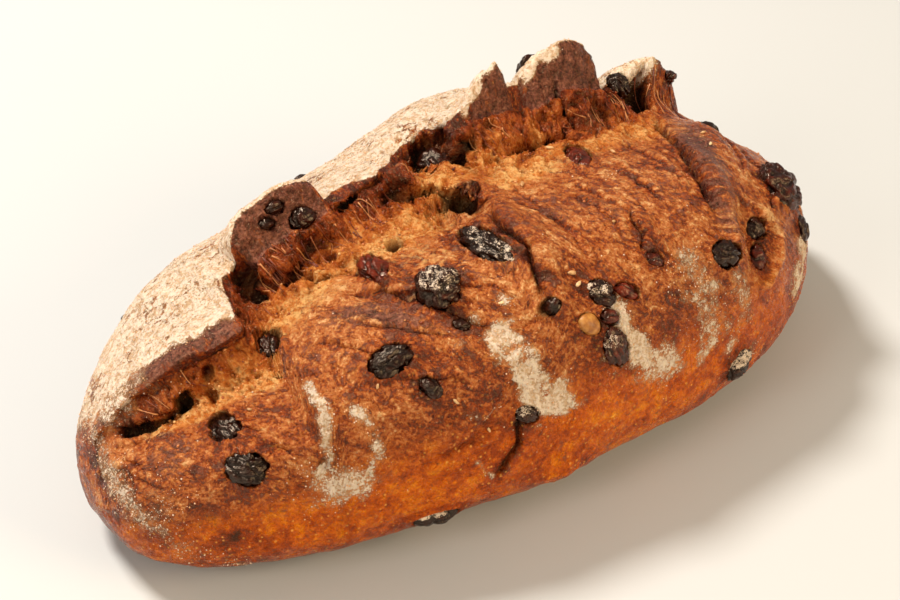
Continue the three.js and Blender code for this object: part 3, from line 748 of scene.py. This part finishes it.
def paint_crumb():
    """Where torn crumb shows, and how pale it is."""
    crumb, tan = skin.paint["crumb"], skin.paint["tan"]
    crumb += np.clip(0.45 * SLASH_FLOOR + TORN, 0, 1)
    tan += 0.08 + 0.5 * smooth((FRONT - FACE - 1) / 12) + 0.2 * noise_at(PLAIN, 9, 2, 13.0)
    tan[torn_at] += 0.2 * webs + 0.16 * fibres - 0.1
    for *place, change in TAN_PATCHES:
        close, share = oval(*place)
        tan[close] += change * bell(share)
        crumb[close] += max(change, 0) * bell(share)


def paint_rind():
    """Where the skin is purple-brown."""
    rind = skin.paint["rind"]
    rind += FIN
    rind += 0.12 * BLOOM + FIRST_EAR * bell(BEHIND - 3, 4)
    for *place, amount in RIND_PATCHES:
        close, share = oval(*place)
        rind[close] += amount * bell(share)


def paint_flour():
    """How thickly flour lies."""
    flour = skin.paint["flour"]
    bare = FIRST_EAR * (1 + 0.6 * noise_at(PLAIN, 9, 2, 51.0)) * (1 + smooth((-98 - X) / 10))
    back = smooth((behind + 0.8 - 2.2 * bare) / (0.8 + 4 * bare)) * (1 - smooth((BEHIND - FLOUR_FOOT) / 14))
    reach = smooth((X - FLOUR_START) / 10) * (1 - smooth((X - FLOUR_END) / 8))
    cracks = np.clip(ridged(noise_at(PLAIN * (0.6, 1, 1), 5, 2, 14.0), 9.0), 0, 1)
    thin = np.clip(noise_at(PLAIN, 12, 2, 15.0) + 0.25, 0, 1)
    flour += back * reach * (1.5 - 0.7 * thin - 0.75 * cracks)
    wander = 1.2 * noise_at(PLAIN * (1, 0.3, 0.3), 3, 2, 52.0)
    for start, end in FLOURED_SLOPES:
        slope = smooth((X - start) / 3) * (1 - smooth((X - end + 3) / 3)) * (EAR > 3) * (FRONT > -1)
        flour[:] = np.maximum(flour, 1.3 * slope * smooth((3.6 + wander - BELOW_CREST) / 2))
    for line, width, strength in FLOUR_STRIPS:
        at, _, side, share, _ = beside(line, 3 * width)
        wander = 0.9 * width * noise_at(PLAIN[at], 5, 3, 16.0)
        broken = np.clip(0.55 + 0.9 * noise_at(PLAIN[at], 5, 2, 19.0) + 0.4, 0.15, 1.2)
        skin.deepen("flour", at, strength * (bell(side + wander, width) * taper(share, 0.15) * broken))
    for *place, strength in FLOUR_PATCHES:
        close, share = oval(*place, reach=2.5)
        uneven = 1 + 0.6 * noise_at(PLAIN[close], 5, 3, 17.0)
        skin.deepen("flour", close, strength * bell(share, np.maximum(uneven, 0.2)))


SLASH_FLOOR = SLASHED * smooth((FRONT - 9) / 5) * (1 - smooth((FRONT - 18) / 12))
paint_bake()
paint_crumb()
paint_rind()
skin.paint["low"] += LOW
paint_flour()


def new_object(name, data):
    made = bpy.data.objects.new(name, data)
    bpy.context.scene.collection.objects.link(made)
    return made


def new_mesh(name, points, faces, paints, normals=None):
    """A piece made from points in millimetres, with a value per point for each paint."""
    mesh = bpy.data.meshes.new(name)
    mesh.from_pydata((points * MM).tolist(), [], faces)
    for paint, values in paints.items():
        layer = mesh.attributes.new(paint, "FLOAT", "POINT")
        layer.data.foreach_set("value", np.asarray(values, np.float32))
    mesh.polygons.foreach_set("use_smooth", [True] * len(mesh.polygons))
    if normals is not None:
        mesh.normals_split_custom_set_from_vertices(normals.tolist())
    made = new_object(name, mesh)
    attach(made, "root")
    return made


def crust_band(name, first, columns):
    """One band of the crust, from a column round the loaf to the next band's first column."""
    picked = (first + np.arange(columns + 1)) % GRID[1]
    ids = np.arange(GRID[0])[:, None] * GRID[1] + picked[None, :]
    ends = plain_points(np.array([-LENGTH / 2, LENGTH / 2]), np.zeros(2))
    corners = np.arange(ids.size).reshape(ids.shape)
    quads = np.stack([corners[:-1, :-1], corners[1:, :-1], corners[1:, 1:], corners[:-1, 1:]], axis=-1)
    start, end = ids.size, ids.size + 1
    fans = [(start, corners[0, k], corners[0, k + 1]) for k in range(columns)]
    fans += [(end, corners[-1, k + 1], corners[-1, k]) for k in range(columns)]
    faces = quads.reshape(-1, 4).tolist() + [tuple(int(c) for c in fan) for fan in fans]
    flat = ids.ravel()
    paints = {key: np.append(value[flat], [value[flat[0]]] * 2) for key, value in skin.paint.items()}
    for k, axis in enumerate("xyz"):
        paints["flow_" + axis] = np.append(FLOW[flat, k], FLOW[flat[[0, -1]], k])
    points = np.vstack([FINISHED[flat], ends])
    normals = np.vstack([FINISHED_NORMALS[flat], [[-1, 0, 0], [1, 0, 0]]])
    band = new_mesh(name, points, faces, paints, normals)
    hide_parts("loaf")
    return band


class Graph:
    """A short way to write a material's nodes."""

    def __init__(self, name):
        self.material = bpy.data.materials.new(name)
        self.material.use_nodes = True
        self.tree = self.material.node_tree
        self.shader = self.tree.nodes["Principled BSDF"]
        self.place = self.add("TexCoord", output="Object")

    def add(self, kind, inputs=(), output=0, **settings):
        """Adds a node, sets its properties, fills its inputs with numbers or other outputs."""
        node = self.tree.nodes.new("ShaderNode" + kind)
        for key, value in settings.items():
            setattr(node, key, value)
        for key, value in dict(inputs).items():
            self.put(node.inputs[key], value)
        return node.outputs[output]

    def put(self, socket, value):
        if isinstance(value, bpy.types.NodeSocket):
            self.tree.links.new(value, socket)
        else:
            socket.default_value = value

    def set(self, name, value):
        """Sets one of the shader's own sockets."""
        self.put(self.shader.inputs[name], value)

    def paint(self, name):
        return self.add("Attribute", output="Fac", attribute_name=name)

    def math(self, operation, a, b=0.0, c=0.0, clamp=False):
        return self.add("Math", {0: a, 1: b, 2: c}, operation=operation, use_clamp=clamp)

    def more(self, value, amount, start, clamp=False):
        """The value times the amount, plus the start."""
        return self.math("MULTIPLY_ADD", value, amount, start, clamp)

    def vary(self, value, *waves):
        """A value raised and lowered by noises about 0.5, each with its amount."""
        for noise, amount in waves:
            value = self.more(self.math("SUBTRACT", noise, 0.5), amount, value)
        return value

    def noise(self, where, size, detail=2.0, roughness=0.5, distortion=0.0):
        """Noise with bumps of about size millimetres."""
        return self.add("TexNoise", {
            "Vector": where, "Scale": 1 / (size * MM), "Detail": detail, "Roughness": roughness,
            "Distortion": distortion,
        })

    def cells(self, where, size):
        return self.add("TexVoronoi", {"Vector": where, "Scale": 1 / (size * MM)})

    def between(self, value, low, high):
        """Eased share of the way of value from low to high."""
        inputs = {"Value": value, "From Min": low, "From Max": high}
        return self.add("MapRange", inputs, interpolation_type="SMOOTHSTEP")

    def ramp(self, value, stops):
        ramp = self.add("ValToRGB", {0: value})
        band = ramp.node.color_ramp
        for _ in stops[2:]:
            band.elements.new(0.5)
        for element, (place, colour) in zip(band.elements, stops):
            element.position = place
            element.color = (*colour, 1)
        return ramp

    def mix(self, share, a, b):
        a, b = ((*colour, 1) if isinstance(colour, tuple) else colour for colour in (a, b))
        return self.add("Mix", {0: share, 6: a, 7: b}, output=2, data_type="RGBA")

    def bump(self, height, distance, normal=None):
        """Relief of distance millimetres from a height between 0 and 1."""
        inputs = {"Height": height, "Distance": distance * MM}
        if normal is not None:
            inputs["Normal"] = normal
        return self.add("Bump", inputs)


def linear(*picture):
    """A colour as the shader needs it from the eight-bit values that a picture shows."""
    return tuple(((c / 255 + 0.055) / 1.055) ** 2.4 if c > 10 else c / 255 / 12.92 for c in picture)


def colours(*stops):
    """Stops of a ramp from a place and eight-bit red, green and blue for each."""
    return [(place, linear(*picture)) for place, *picture in stops]


BLOOM_STOPS = colours(
    (0.05, 226, 172, 116), (0.24, 196, 122, 68), (0.44, 170, 86, 36),
    (0.58, 132, 52, 22), (0.72, 90, 34, 22), (1.0, 34, 12, 10),
)
# The low front band's own orange, made deeper and without blue to stand in for warm yellow light thrown on
# it by the surroundings: painted bounce light
BAND_AND_BOUNCE_STOPS = colours(
    (0.10, 246, 168, 40), (0.28, 230, 126, 4), (0.46, 202, 90, 0),
    (0.64, 156, 56, 0), (0.82, 92, 30, 3), (1.0, 40, 14, 6),
)
CRUMB_STOPS = colours(
    (0.0, 56, 12, 4), (0.22, 116, 38, 9), (0.45, 164, 76, 22), (0.7, 200, 118, 50), (1.0, 232, 176, 108),
)
RIND_STOPS = colours((0.25, 46, 20, 17), (0.45, 88, 46, 36), (0.62, 126, 72, 56), (0.85, 176, 120, 92))
RAISIN_STOPS = colours((0.1, 26, 9, 5), (0.5, 56, 18, 8), (1.0, 116, 36, 17))
KERNEL_STOPS = colours((0.35, 132, 74, 22), (0.5, 172, 108, 42), (0.65, 200, 140, 66))
THREAD_STOPS = colours((0.1, 96, 30, 10), (0.5, 150, 70, 26), (1.0, 206, 138, 78))
HUSK_STOPS = colours((0.1, 160, 96, 48), (0.6, 216, 168, 112), (1.0, 240, 210, 160))
FLOOR_STOPS = ((0.3, (0.60, 0.60, 0.59)), (0.7, (0.62, 0.62, 0.61)))
FLOUR_LIGHT, FLOUR_SHADE, FLOUR_THIN = linear(234, 212, 188), linear(206, 170, 134), linear(228, 166, 104)
# Pale of the blisters, then the near-black of painted shade in the crust's hollows and in the raisins'
# creases
BLISTER_PALE, CAVITY_SHADE, RAISIN_CREASE_SHADE = linear(248, 174, 80), linear(24, 7, 4), linear(10, 4, 3)
RAISIN_FLOUR = linear(212, 190, 166)
CRUST_ROUGH, RAISIN_ROUGH = 0.24, 0.14
# Warm tints of the reflections on crust and raisins, which stand in for the yellow light of the
# surroundings: painted reflection colour
CRUST_SHINE, RAISIN_SHINE = (1.0, 0.7, 0.36, 1), (1.0, 0.78, 0.58, 1)


def crust_colour(g, grains, floured):
    """Colour of the crust under the flour and of the flour on it."""
    low, rind = g.paint("low"), g.paint("rind")
    fine, middle, broad, bands, streaks, dots = grains
    bake = g.paint("bake")
    varied = g.vary(bake, (middle, 0.7), (broad, 0.7), (fine, 0.35))
    streaked = g.vary(bake, (middle, 0.3), (bands, 1.3), (streaks, 1.1), (fine, 0.7))
    # The low front band takes colours that hold painted bounce light as well as its own orange
    colour = g.mix(low, g.ramp(streaked, BLOOM_STOPS), g.ramp(varied, BAND_AND_BOUNCE_STOPS))
    spots = g.math("SUBTRACT", 1, g.between(dots, 0.10, 0.26))
    spots = g.math("MULTIPLY", spots, g.between(broad, 0.38, 0.55))
    colour = g.mix(g.math("MULTIPLY", spots, g.more(low, 0.5, 0.25)), colour, BLISTER_PALE)
    purple = g.between(g.vary(rind, (bands, 2.2), (streaks, 1.2), (middle, 0.6)), 0.2, 0.8)
    colour = g.mix(purple, colour, g.ramp(g.vary(0.5, (middle, 0.9), (fine, 0.9)), RIND_STOPS))
    crumb_tone = g.vary(g.paint("tan"), (middle, 0.8), (streaks, 1.0), (fine, 0.5))
    shown = g.between(g.vary(g.paint("crumb"), (middle, 1.6)), 0.3, 0.8)
    colour = g.mix(g.math("MULTIPLY", shown, 0.9), colour, g.ramp(crumb_tone, CRUMB_STOPS))
    # Painted shade, near black, in holes, pits, grooves and the gaps round raisins
    colour = g.mix(g.math("MULTIPLY", g.paint("painted_shade"), 0.92, clamp=True), colour, CAVITY_SHADE)
    light = g.between(g.vary(0.5, (fine, 1.0), (middle, 1.2)), 0.35, 0.6)
    flour_colour = g.mix(floured, FLOUR_THIN, g.mix(light, FLOUR_SHADE, FLOUR_LIGHT))
    return g.mix(floured, colour, flour_colour)


def crust_material():
    g = Graph("baked_crust")
    flow = g.add("CombineXYZ", {k: g.paint("flow_" + axis) for k, axis in enumerate("xyz")})
    flow = g.add("VectorMath", {0: flow, "Scale": MM}, operation="SCALE")
    fine, middle = g.noise(g.place, 0.8, 3, 0.6), g.noise(g.place, 2.6, 4, 0.6, 0.6)
    broad, grit = g.noise(g.place, 9, 3, 0.6), g.noise(g.place, 0.45, 2, 0.6)
    bands, streaks = g.noise(flow, 5, 4, 0.62, 1.4), g.noise(flow, 1.4, 4, 0.65, 1.4)
    dots = g.cells(g.place, 1.9)
    flour = g.paint("flour")
    heaped = g.vary(0.6, (fine, 0.6), (middle, 0.6), (grit, 0.7))
    bare_below = g.math("SUBTRACT", 0.86, g.math("MULTIPLY", flour, 0.44))
    floured = g.between(g.math("SUBTRACT", heaped, bare_below), -0.04, 0.10)
    floured = g.math("MULTIPLY", floured, g.between(flour, 0.03, 0.3))
    veil = g.math("MULTIPLY", g.between(g.vary(flour, (fine, 0.6), (middle, 0.5)), 0.1, 1.1), 0.7)
    floured = g.math("MAXIMUM", floured, veil)
    g.set("Base Color", crust_colour(g, (fine, middle, broad, bands, streaks, dots), floured))
    rough = g.vary(CRUST_ROUGH, (middle, 1.1), (streaks, 0.8))
    g.set("Roughness", g.more(floured, 0.6, rough, clamp=True))
    skinned = g.math("SUBTRACT", 1, g.paint("rind"), clamp=True)
    normal = g.bump(middle, 1.0)
    reliefs = ((g.math("MULTIPLY", streaks, skinned), 0.8), (dots, -0.35), (floured, 0.25), (fine, 0.6))
    for height, distance in reliefs:
        normal = g.bump(height, distance, normal)
    g.set("Normal", normal)
    g.set("Specular Tint", CRUST_SHINE)
    g.set("Specular IOR Level", 0.38)
    g.set("Subsurface Weight", 0.06)
    g.set("Subsurface Radius", (0.004, 0.0015, 0.0006))
    g.set("Subsurface Scale", 0.5)
    return g.material


def toned_material(name, stops, spots, spread, rough_spots, rough_spread, least_rough):
    """A material for small bits that each have their own tone, which spots vary."""
    g = Graph(name)
    g.set("Base Color", g.ramp(g.vary(g.paint("tone"), (g.noise(g.place, spots, 3), spread)), stops))
    g.set("Roughness", g.more(g.noise(g.place, rough_spots, 2), rough_spread, least_rough))
    return g.material


def gather(name, parts):
    """One piece from many small ones, of which each has its points, faces and paints."""
    points, faces, count = [], [], 0
    paints = {key: [] for key in parts[0][2]}
    for some, theirs, painted in parts:
        points.append(some)
        faces += [tuple(corner + count for corner in face) for face in theirs]
        count += len(some)
        for key, value in painted.items():
            paints[key].append(np.broadcast_to(value, len(some)))
    joined = {key: np.concatenate(values) for key, values in paints.items()}
    return new_mesh(name, np.vstack(points), faces, joined)


def raisin_points(morsel, seed):
    """A wrinkled raisin with folds that run along it, about the size of its solid."""
    points, faces = ball(RAISIN_RINGS, RAISIN_SIDES)
    shape = points * morsel.half
    stretch = np.where(np.arange(3) == np.argmax(morsel.half[:2]), 0.5, 1)
    bent = shape * stretch + 0.6 * noise_at(shape, 4, 1, seed + 8.0)[:, None]
    lumps = noise_at(shape, 5, 2, seed)
    folds = np.abs(noise_at(bent, 2.6, 1, seed + 3.3))
    small = np.abs(noise_at(bent, 1.3, 1, seed + 6.1))
    crease = (1 - smooth(folds / 0.28)) + 0.4 * (1 - smooth(small / 0.25))
    radius = 1.06 + 0.2 * lumps - 0.19 * crease
    return morsel.middle + (shape * radius[:, None]) @ morsel.axes.T, faces, crease


def raisin_material():
    g = Graph("raisin_skin")
    fine, middle = g.noise(g.place, 0.4, 3, 0.6), g.noise(g.place, 1.8, 3, 0.6)
    skin_colour = g.ramp(g.vary(g.paint("tone"), (middle, 1.2)), RAISIN_STOPS)
    # Painted shade in the raisin's creases
    skin_colour = g.mix(g.math("MULTIPLY", g.paint("crease"), 0.7, clamp=True), skin_colour, RAISIN_CREASE_SHADE)
    dusty = g.math("ADD", g.math("MULTIPLY", fine, 0.5), g.math("MULTIPLY", middle, 0.6))
    dusty = g.math("SUBTRACT", dusty, g.math("SUBTRACT", 0.86, g.math("MULTIPLY", g.paint("dust"), 0.45)))
    dusty = g.between(dusty, 0.0, 0.09)
    g.set("Base Color", g.mix(dusty, skin_colour, RAISIN_FLOUR))
    g.set("Roughness", g.more(dusty, 0.6, RAISIN_ROUGH))
    g.set("Normal", g.bump(fine, 0.08, g.bump(middle, 0.4)))
    g.set("Specular Tint", RAISIN_SHINE)
    g.set("Specular IOR Level", 0.5)
    return g.material


def make_raisins():
    """All raisins in one piece, with their creases, dust and tone as paints."""
    raisins = [morsel for morsel in MORSELS if morsel.name.startswith("raisin")]
    parts = []
    for k, morsel in enumerate(raisins):
        points, faces, crease = raisin_points(morsel, 10.0 * k)
        upper = smooth(((points - morsel.middle)[:, 2] / morsel.half.min() + 0.1) / 0.8)
        dust = RAISIN_DUST.get(k + 1, LEAST_DUST) * upper
        tone = RAISIN_RED.get(k + 1, 0.1 + 0.3 * ((k * 0.37) % 1))
        parts.append((points, faces, {"crease": crease, "dust": dust, "tone": tone}))
    made = gather("raisins", parts)
    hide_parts(*[morsel.name for morsel in raisins])
    made.data.materials.append(raisin_material())


def kernel_material():
    g = Graph("kernel_skin")
    middle, fine = g.noise(g.place, 2.5, 3, 0.6), g.noise(g.place, 0.5, 3, 0.6)
    g.set("Base Color", g.ramp(middle, KERNEL_STOPS))
    g.set("Roughness", g.more(fine, 0.2, 0.3))
    g.set("Normal", g.bump(fine, 0.12))
    return g.material


def make_kernel():
    """The kernel, narrower at one end."""
    morsel = next(m for m in MORSELS if m.name == "kernel")
    points, faces = ball(KERNEL_RINGS, KERNEL_SIDES)
    pinch = 1 - 0.14 * points[:, :1]
    shape = points * morsel.half * np.hstack([np.ones_like(pinch), pinch, pinch])
    shape *= (1 + 0.05 * noise_at(shape, 3, 2, 2.0))[:, None]
    made = new_mesh("kernel_seed", morsel.middle + shape @ morsel.axes.T, faces, {})
    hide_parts("kernel")
    made.data.materials.append(kernel_material())


def surface_place(x, angle):
    """Point and outward direction of the finished crust at a place."""
    nearest = np.argmin((X - x) ** 2 + (ANGLE - angle) ** 2)
    return FINISHED[nearest], FINISHED_NORMALS[nearest]


def tube(path, radii, sides=6):
    """Points and faces of a tube along a path, closed at both ends."""
    ahead = unit(np.gradient(path, axis=0))
    first = unit(np.cross(ahead, (0.31, 0.52, 0.8)))
    second = np.cross(ahead, first)
    turn = np.linspace(0, 2 * np.pi, sides, endpoint=False)[None, :, None]
    around = np.cos(turn) * first[:, None] + np.sin(turn) * second[:, None]
    rings = path[:, None] + radii[:, None, None] * around
    faces = []
    for ring in range(len(path) - 1):
        for k in range(sides):
            a, b = ring * sides + k, ring * sides + (k + 1) % sides
            faces.append((a, b, b + sides, a + sides))
    faces.append(tuple(range(sides))[::-1])
    faces.append(tuple(range((len(path) - 1) * sides, len(path) * sides)))
    return rings.reshape(-1, 3), faces


def make_threads():
    """Fibres of dough that hang between the upper and the lower part of the torn wall."""
    dice = np.random.default_rng(THREAD_DICE)
    parts = []
    share = np.linspace(0, 1, THREAD_CORNERS)
    bow = 4 * share * (1 - share)
    for x_from, x_to, start, end, count in THREAD_FIELDS:
        for _ in range(count):
            x = dice.uniform(x_from, x_to) + dice.normal(1.2, 1.6) * share
            upper = start + dice.uniform(-1, 3)
            drop = upper + (end - upper) * dice.uniform(0.4, 1.1) * share
            spots = [surface_place(*spot) for spot in zip(x, along(EAR_EDGE, x) - drop)]
            out = np.array([spot[1] for spot in spots])
            path = np.array([spot[0] for spot in spots]) + out * (dice.uniform(0.1, 0.6) * bow)[:, None]
            for _ in range(3):
                path[1:-1] = (path[:-2] + 2 * path[1:-1] + path[2:]) / 4
            radii = dice.uniform(0.08, 0.2) * (0.7 + 0.8 * np.abs(2 * share - 1) ** 2)
            parts.append((*tube(path, radii), {"tone": dice.uniform(0, 1)}))
    made = gather("dough_threads", parts)
    made.data.materials.append(toned_material("dough_thread", THREAD_STOPS, *THREAD_LOOK))


def lump(size, dice, rings, around):
    """A small uneven lump with half sizes given."""
    points, faces = ball(rings, around)
    return points * size * (1 + dice.uniform(-0.3, 0.3, (len(points), 1))), faces


def laid(points, at, out, lift, turn):
    """Points of a small thing that lies on the crust, turned about the outward direction."""
    first = unit(np.cross(out, (math.cos(turn), math.sin(turn), 0.2)))
    return at + out * lift + points @ np.stack([first, np.cross(out, first), out])


def make_crumbs():
    """Crumbs and torn bits on the dough of the slash."""
    dice = np.random.default_rng(CRUMB_DICE)
    weight = TORN + 0.06 * BLOOM * (FRONT < 60)
    parts = []
    for k in dice.choice(len(X), CRUMB_COUNT, p=weight / weight.sum()):
        size = CRUMB_SIZE + CRUMB_MORE * dice.power(0.3)
        points, faces = lump(size * np.array([1.2, 1, 0.8]), dice, 3, 5)
        points = laid(points, FINISHED[k], FINISHED_NORMALS[k], size * 0.3, dice.uniform(0, 6))
        tone = np.clip(skin.paint["tan"][k] + dice.normal(-0.05, 0.15), 0, 1)
        parts.append((points, faces, {"tone": tone}))
    made = gather("crumbs", parts)
    made.data.materials.append(toned_material("crumb_bit", CRUMB_STOPS, *CRUMB_LOOK))


def grain_material():
    g = Graph("flour_grain")
    noise = g.noise(g.place, 0.5, 2)
    tone = g.between(g.more(noise, 0.5, g.paint("tone")), 0.1, 1.1)
    g.set("Base Color", g.mix(tone, FLOUR_THIN, FLOUR_LIGHT))
    g.set("Roughness", g.more(noise, 0.2, 0.75))
    return g.material


def make_flour_grains():
    """Loose grains of flour where it lies."""
    dice = np.random.default_rng(GRAIN_DICE)
    weight = np.clip(skin.paint["flour"], 0, 0.6) * (BEHIND < 60) + 0.002 * (ANGLE > -20) * (BEHIND < 60)
    parts = []
    for k in dice.choice(len(X), GRAIN_COUNT, p=weight / weight.sum()):
        size = GRAIN_SIZE + GRAIN_MORE * dice.power(0.4)
        corners = size * np.array(GRAIN_CORNERS, float)
        points = laid(corners, FINISHED[k], FINISHED_NORMALS[k], size * 0.4, dice.uniform(0, 6))
        parts.append((points, GRAIN_FACES, {"tone": dice.uniform(0, 1)}))
    gather("flour_grains", parts).data.materials.append(grain_material())


def make_seeds():
    """Seeds and bits of husk on the crust."""
    dice = np.random.default_rng(SEED_DICE)
    parts = []
    for x, angle, turn, length in SEEDS:
        points, faces = lump(length * np.array(SEED_SHAPE), dice, 6, 10)
        points = laid(points, *surface_place(x, angle), 0.1 * length, turn)
        parts.append((points, faces, {"tone": dice.uniform(0.3, 1)}))
    gather("seeds", parts).data.materials.append(toned_material("seed_husk", HUSK_STOPS, *HUSK_LOOK))


FINISHED = skin.points()
FINISHED_NORMALS = grid_normals(FINISHED)
crust = crust_material()
for name, first, columns in (
    ("crust_front", 0, FRONT_COLUMNS),
    ("crust_top", FRONT_COLUMNS, TOP_COLUMNS),
    ("crust_back", FRONT_COLUMNS + TOP_COLUMNS, BACK_COLUMNS),
):
    crust_band(name, first, columns).data.materials.append(crust)
make_raisins()
make_kernel()
make_threads()
make_crumbs()
make_flour_grains()
make_seeds()

def aim(thing, place, target):
    """Puts a camera or light at a place and points it at a target."""
    thing.location = place
    thing.rotation_mode = "QUATERNION"
    thing.rotation_quaternion = (Vector(target) - Vector(place)).to_track_quat("-Z", "Y")


def make_camera():
    data = bpy.data.cameras.new("camera")
    camera = new_object("camera", data)
    data.lens, data.sensor_width = LENS, SENSOR
    data.clip_start, data.clip_end = CLIP_NEAR, CLIP_FAR
    a, e = math.radians(AZIMUTH), math.radians(ELEVATION)
    back = np.array([math.sin(a) * math.cos(e), -math.cos(a) * math.cos(e), math.sin(e)])
    target = np.array(TARGET) * MM
    aim(camera, tuple(target + back * DISTANCE * MM), tuple(target))
    bpy.context.scene.camera = camera


def make_stage():
    mesh = bpy.data.meshes.new("floor")
    low, high = -FLOOR_HALF, FLOOR_HALF
    mesh.from_pydata([(low, low, 0), (high, low, 0), (high, high, 0), (low, high, 0)], [], [(0, 1, 2, 3)])
    g = Graph("pale_floor")
    g.set("Base Color", g.ramp(g.noise(g.place, 400, 2), FLOOR_STOPS))
    g.set("Roughness", 0.8)
    mesh.materials.append(g.material)
    new_object("floor", mesh)


def make_light():
    for name, place, size, power, colour in LIGHTS:
        lamp = bpy.data.lights.new(name, "AREA")
        lamp.shape, lamp.size, lamp.energy, lamp.color = "DISK", size, power, colour
        aim(new_object(name, lamp), place, LIT_POINT)
    world = bpy.data.worlds.new("studio")
    bpy.context.scene.world = world
    world.use_nodes = True
    background = world.node_tree.nodes["Background"]
    background.inputs["Color"].default_value = WORLD_COLOUR
    background.inputs["Strength"].default_value = WORLD_STRENGTH
    bpy.context.scene.view_settings.view_transform = "Standard"


make_camera()
make_stage()
make_light()
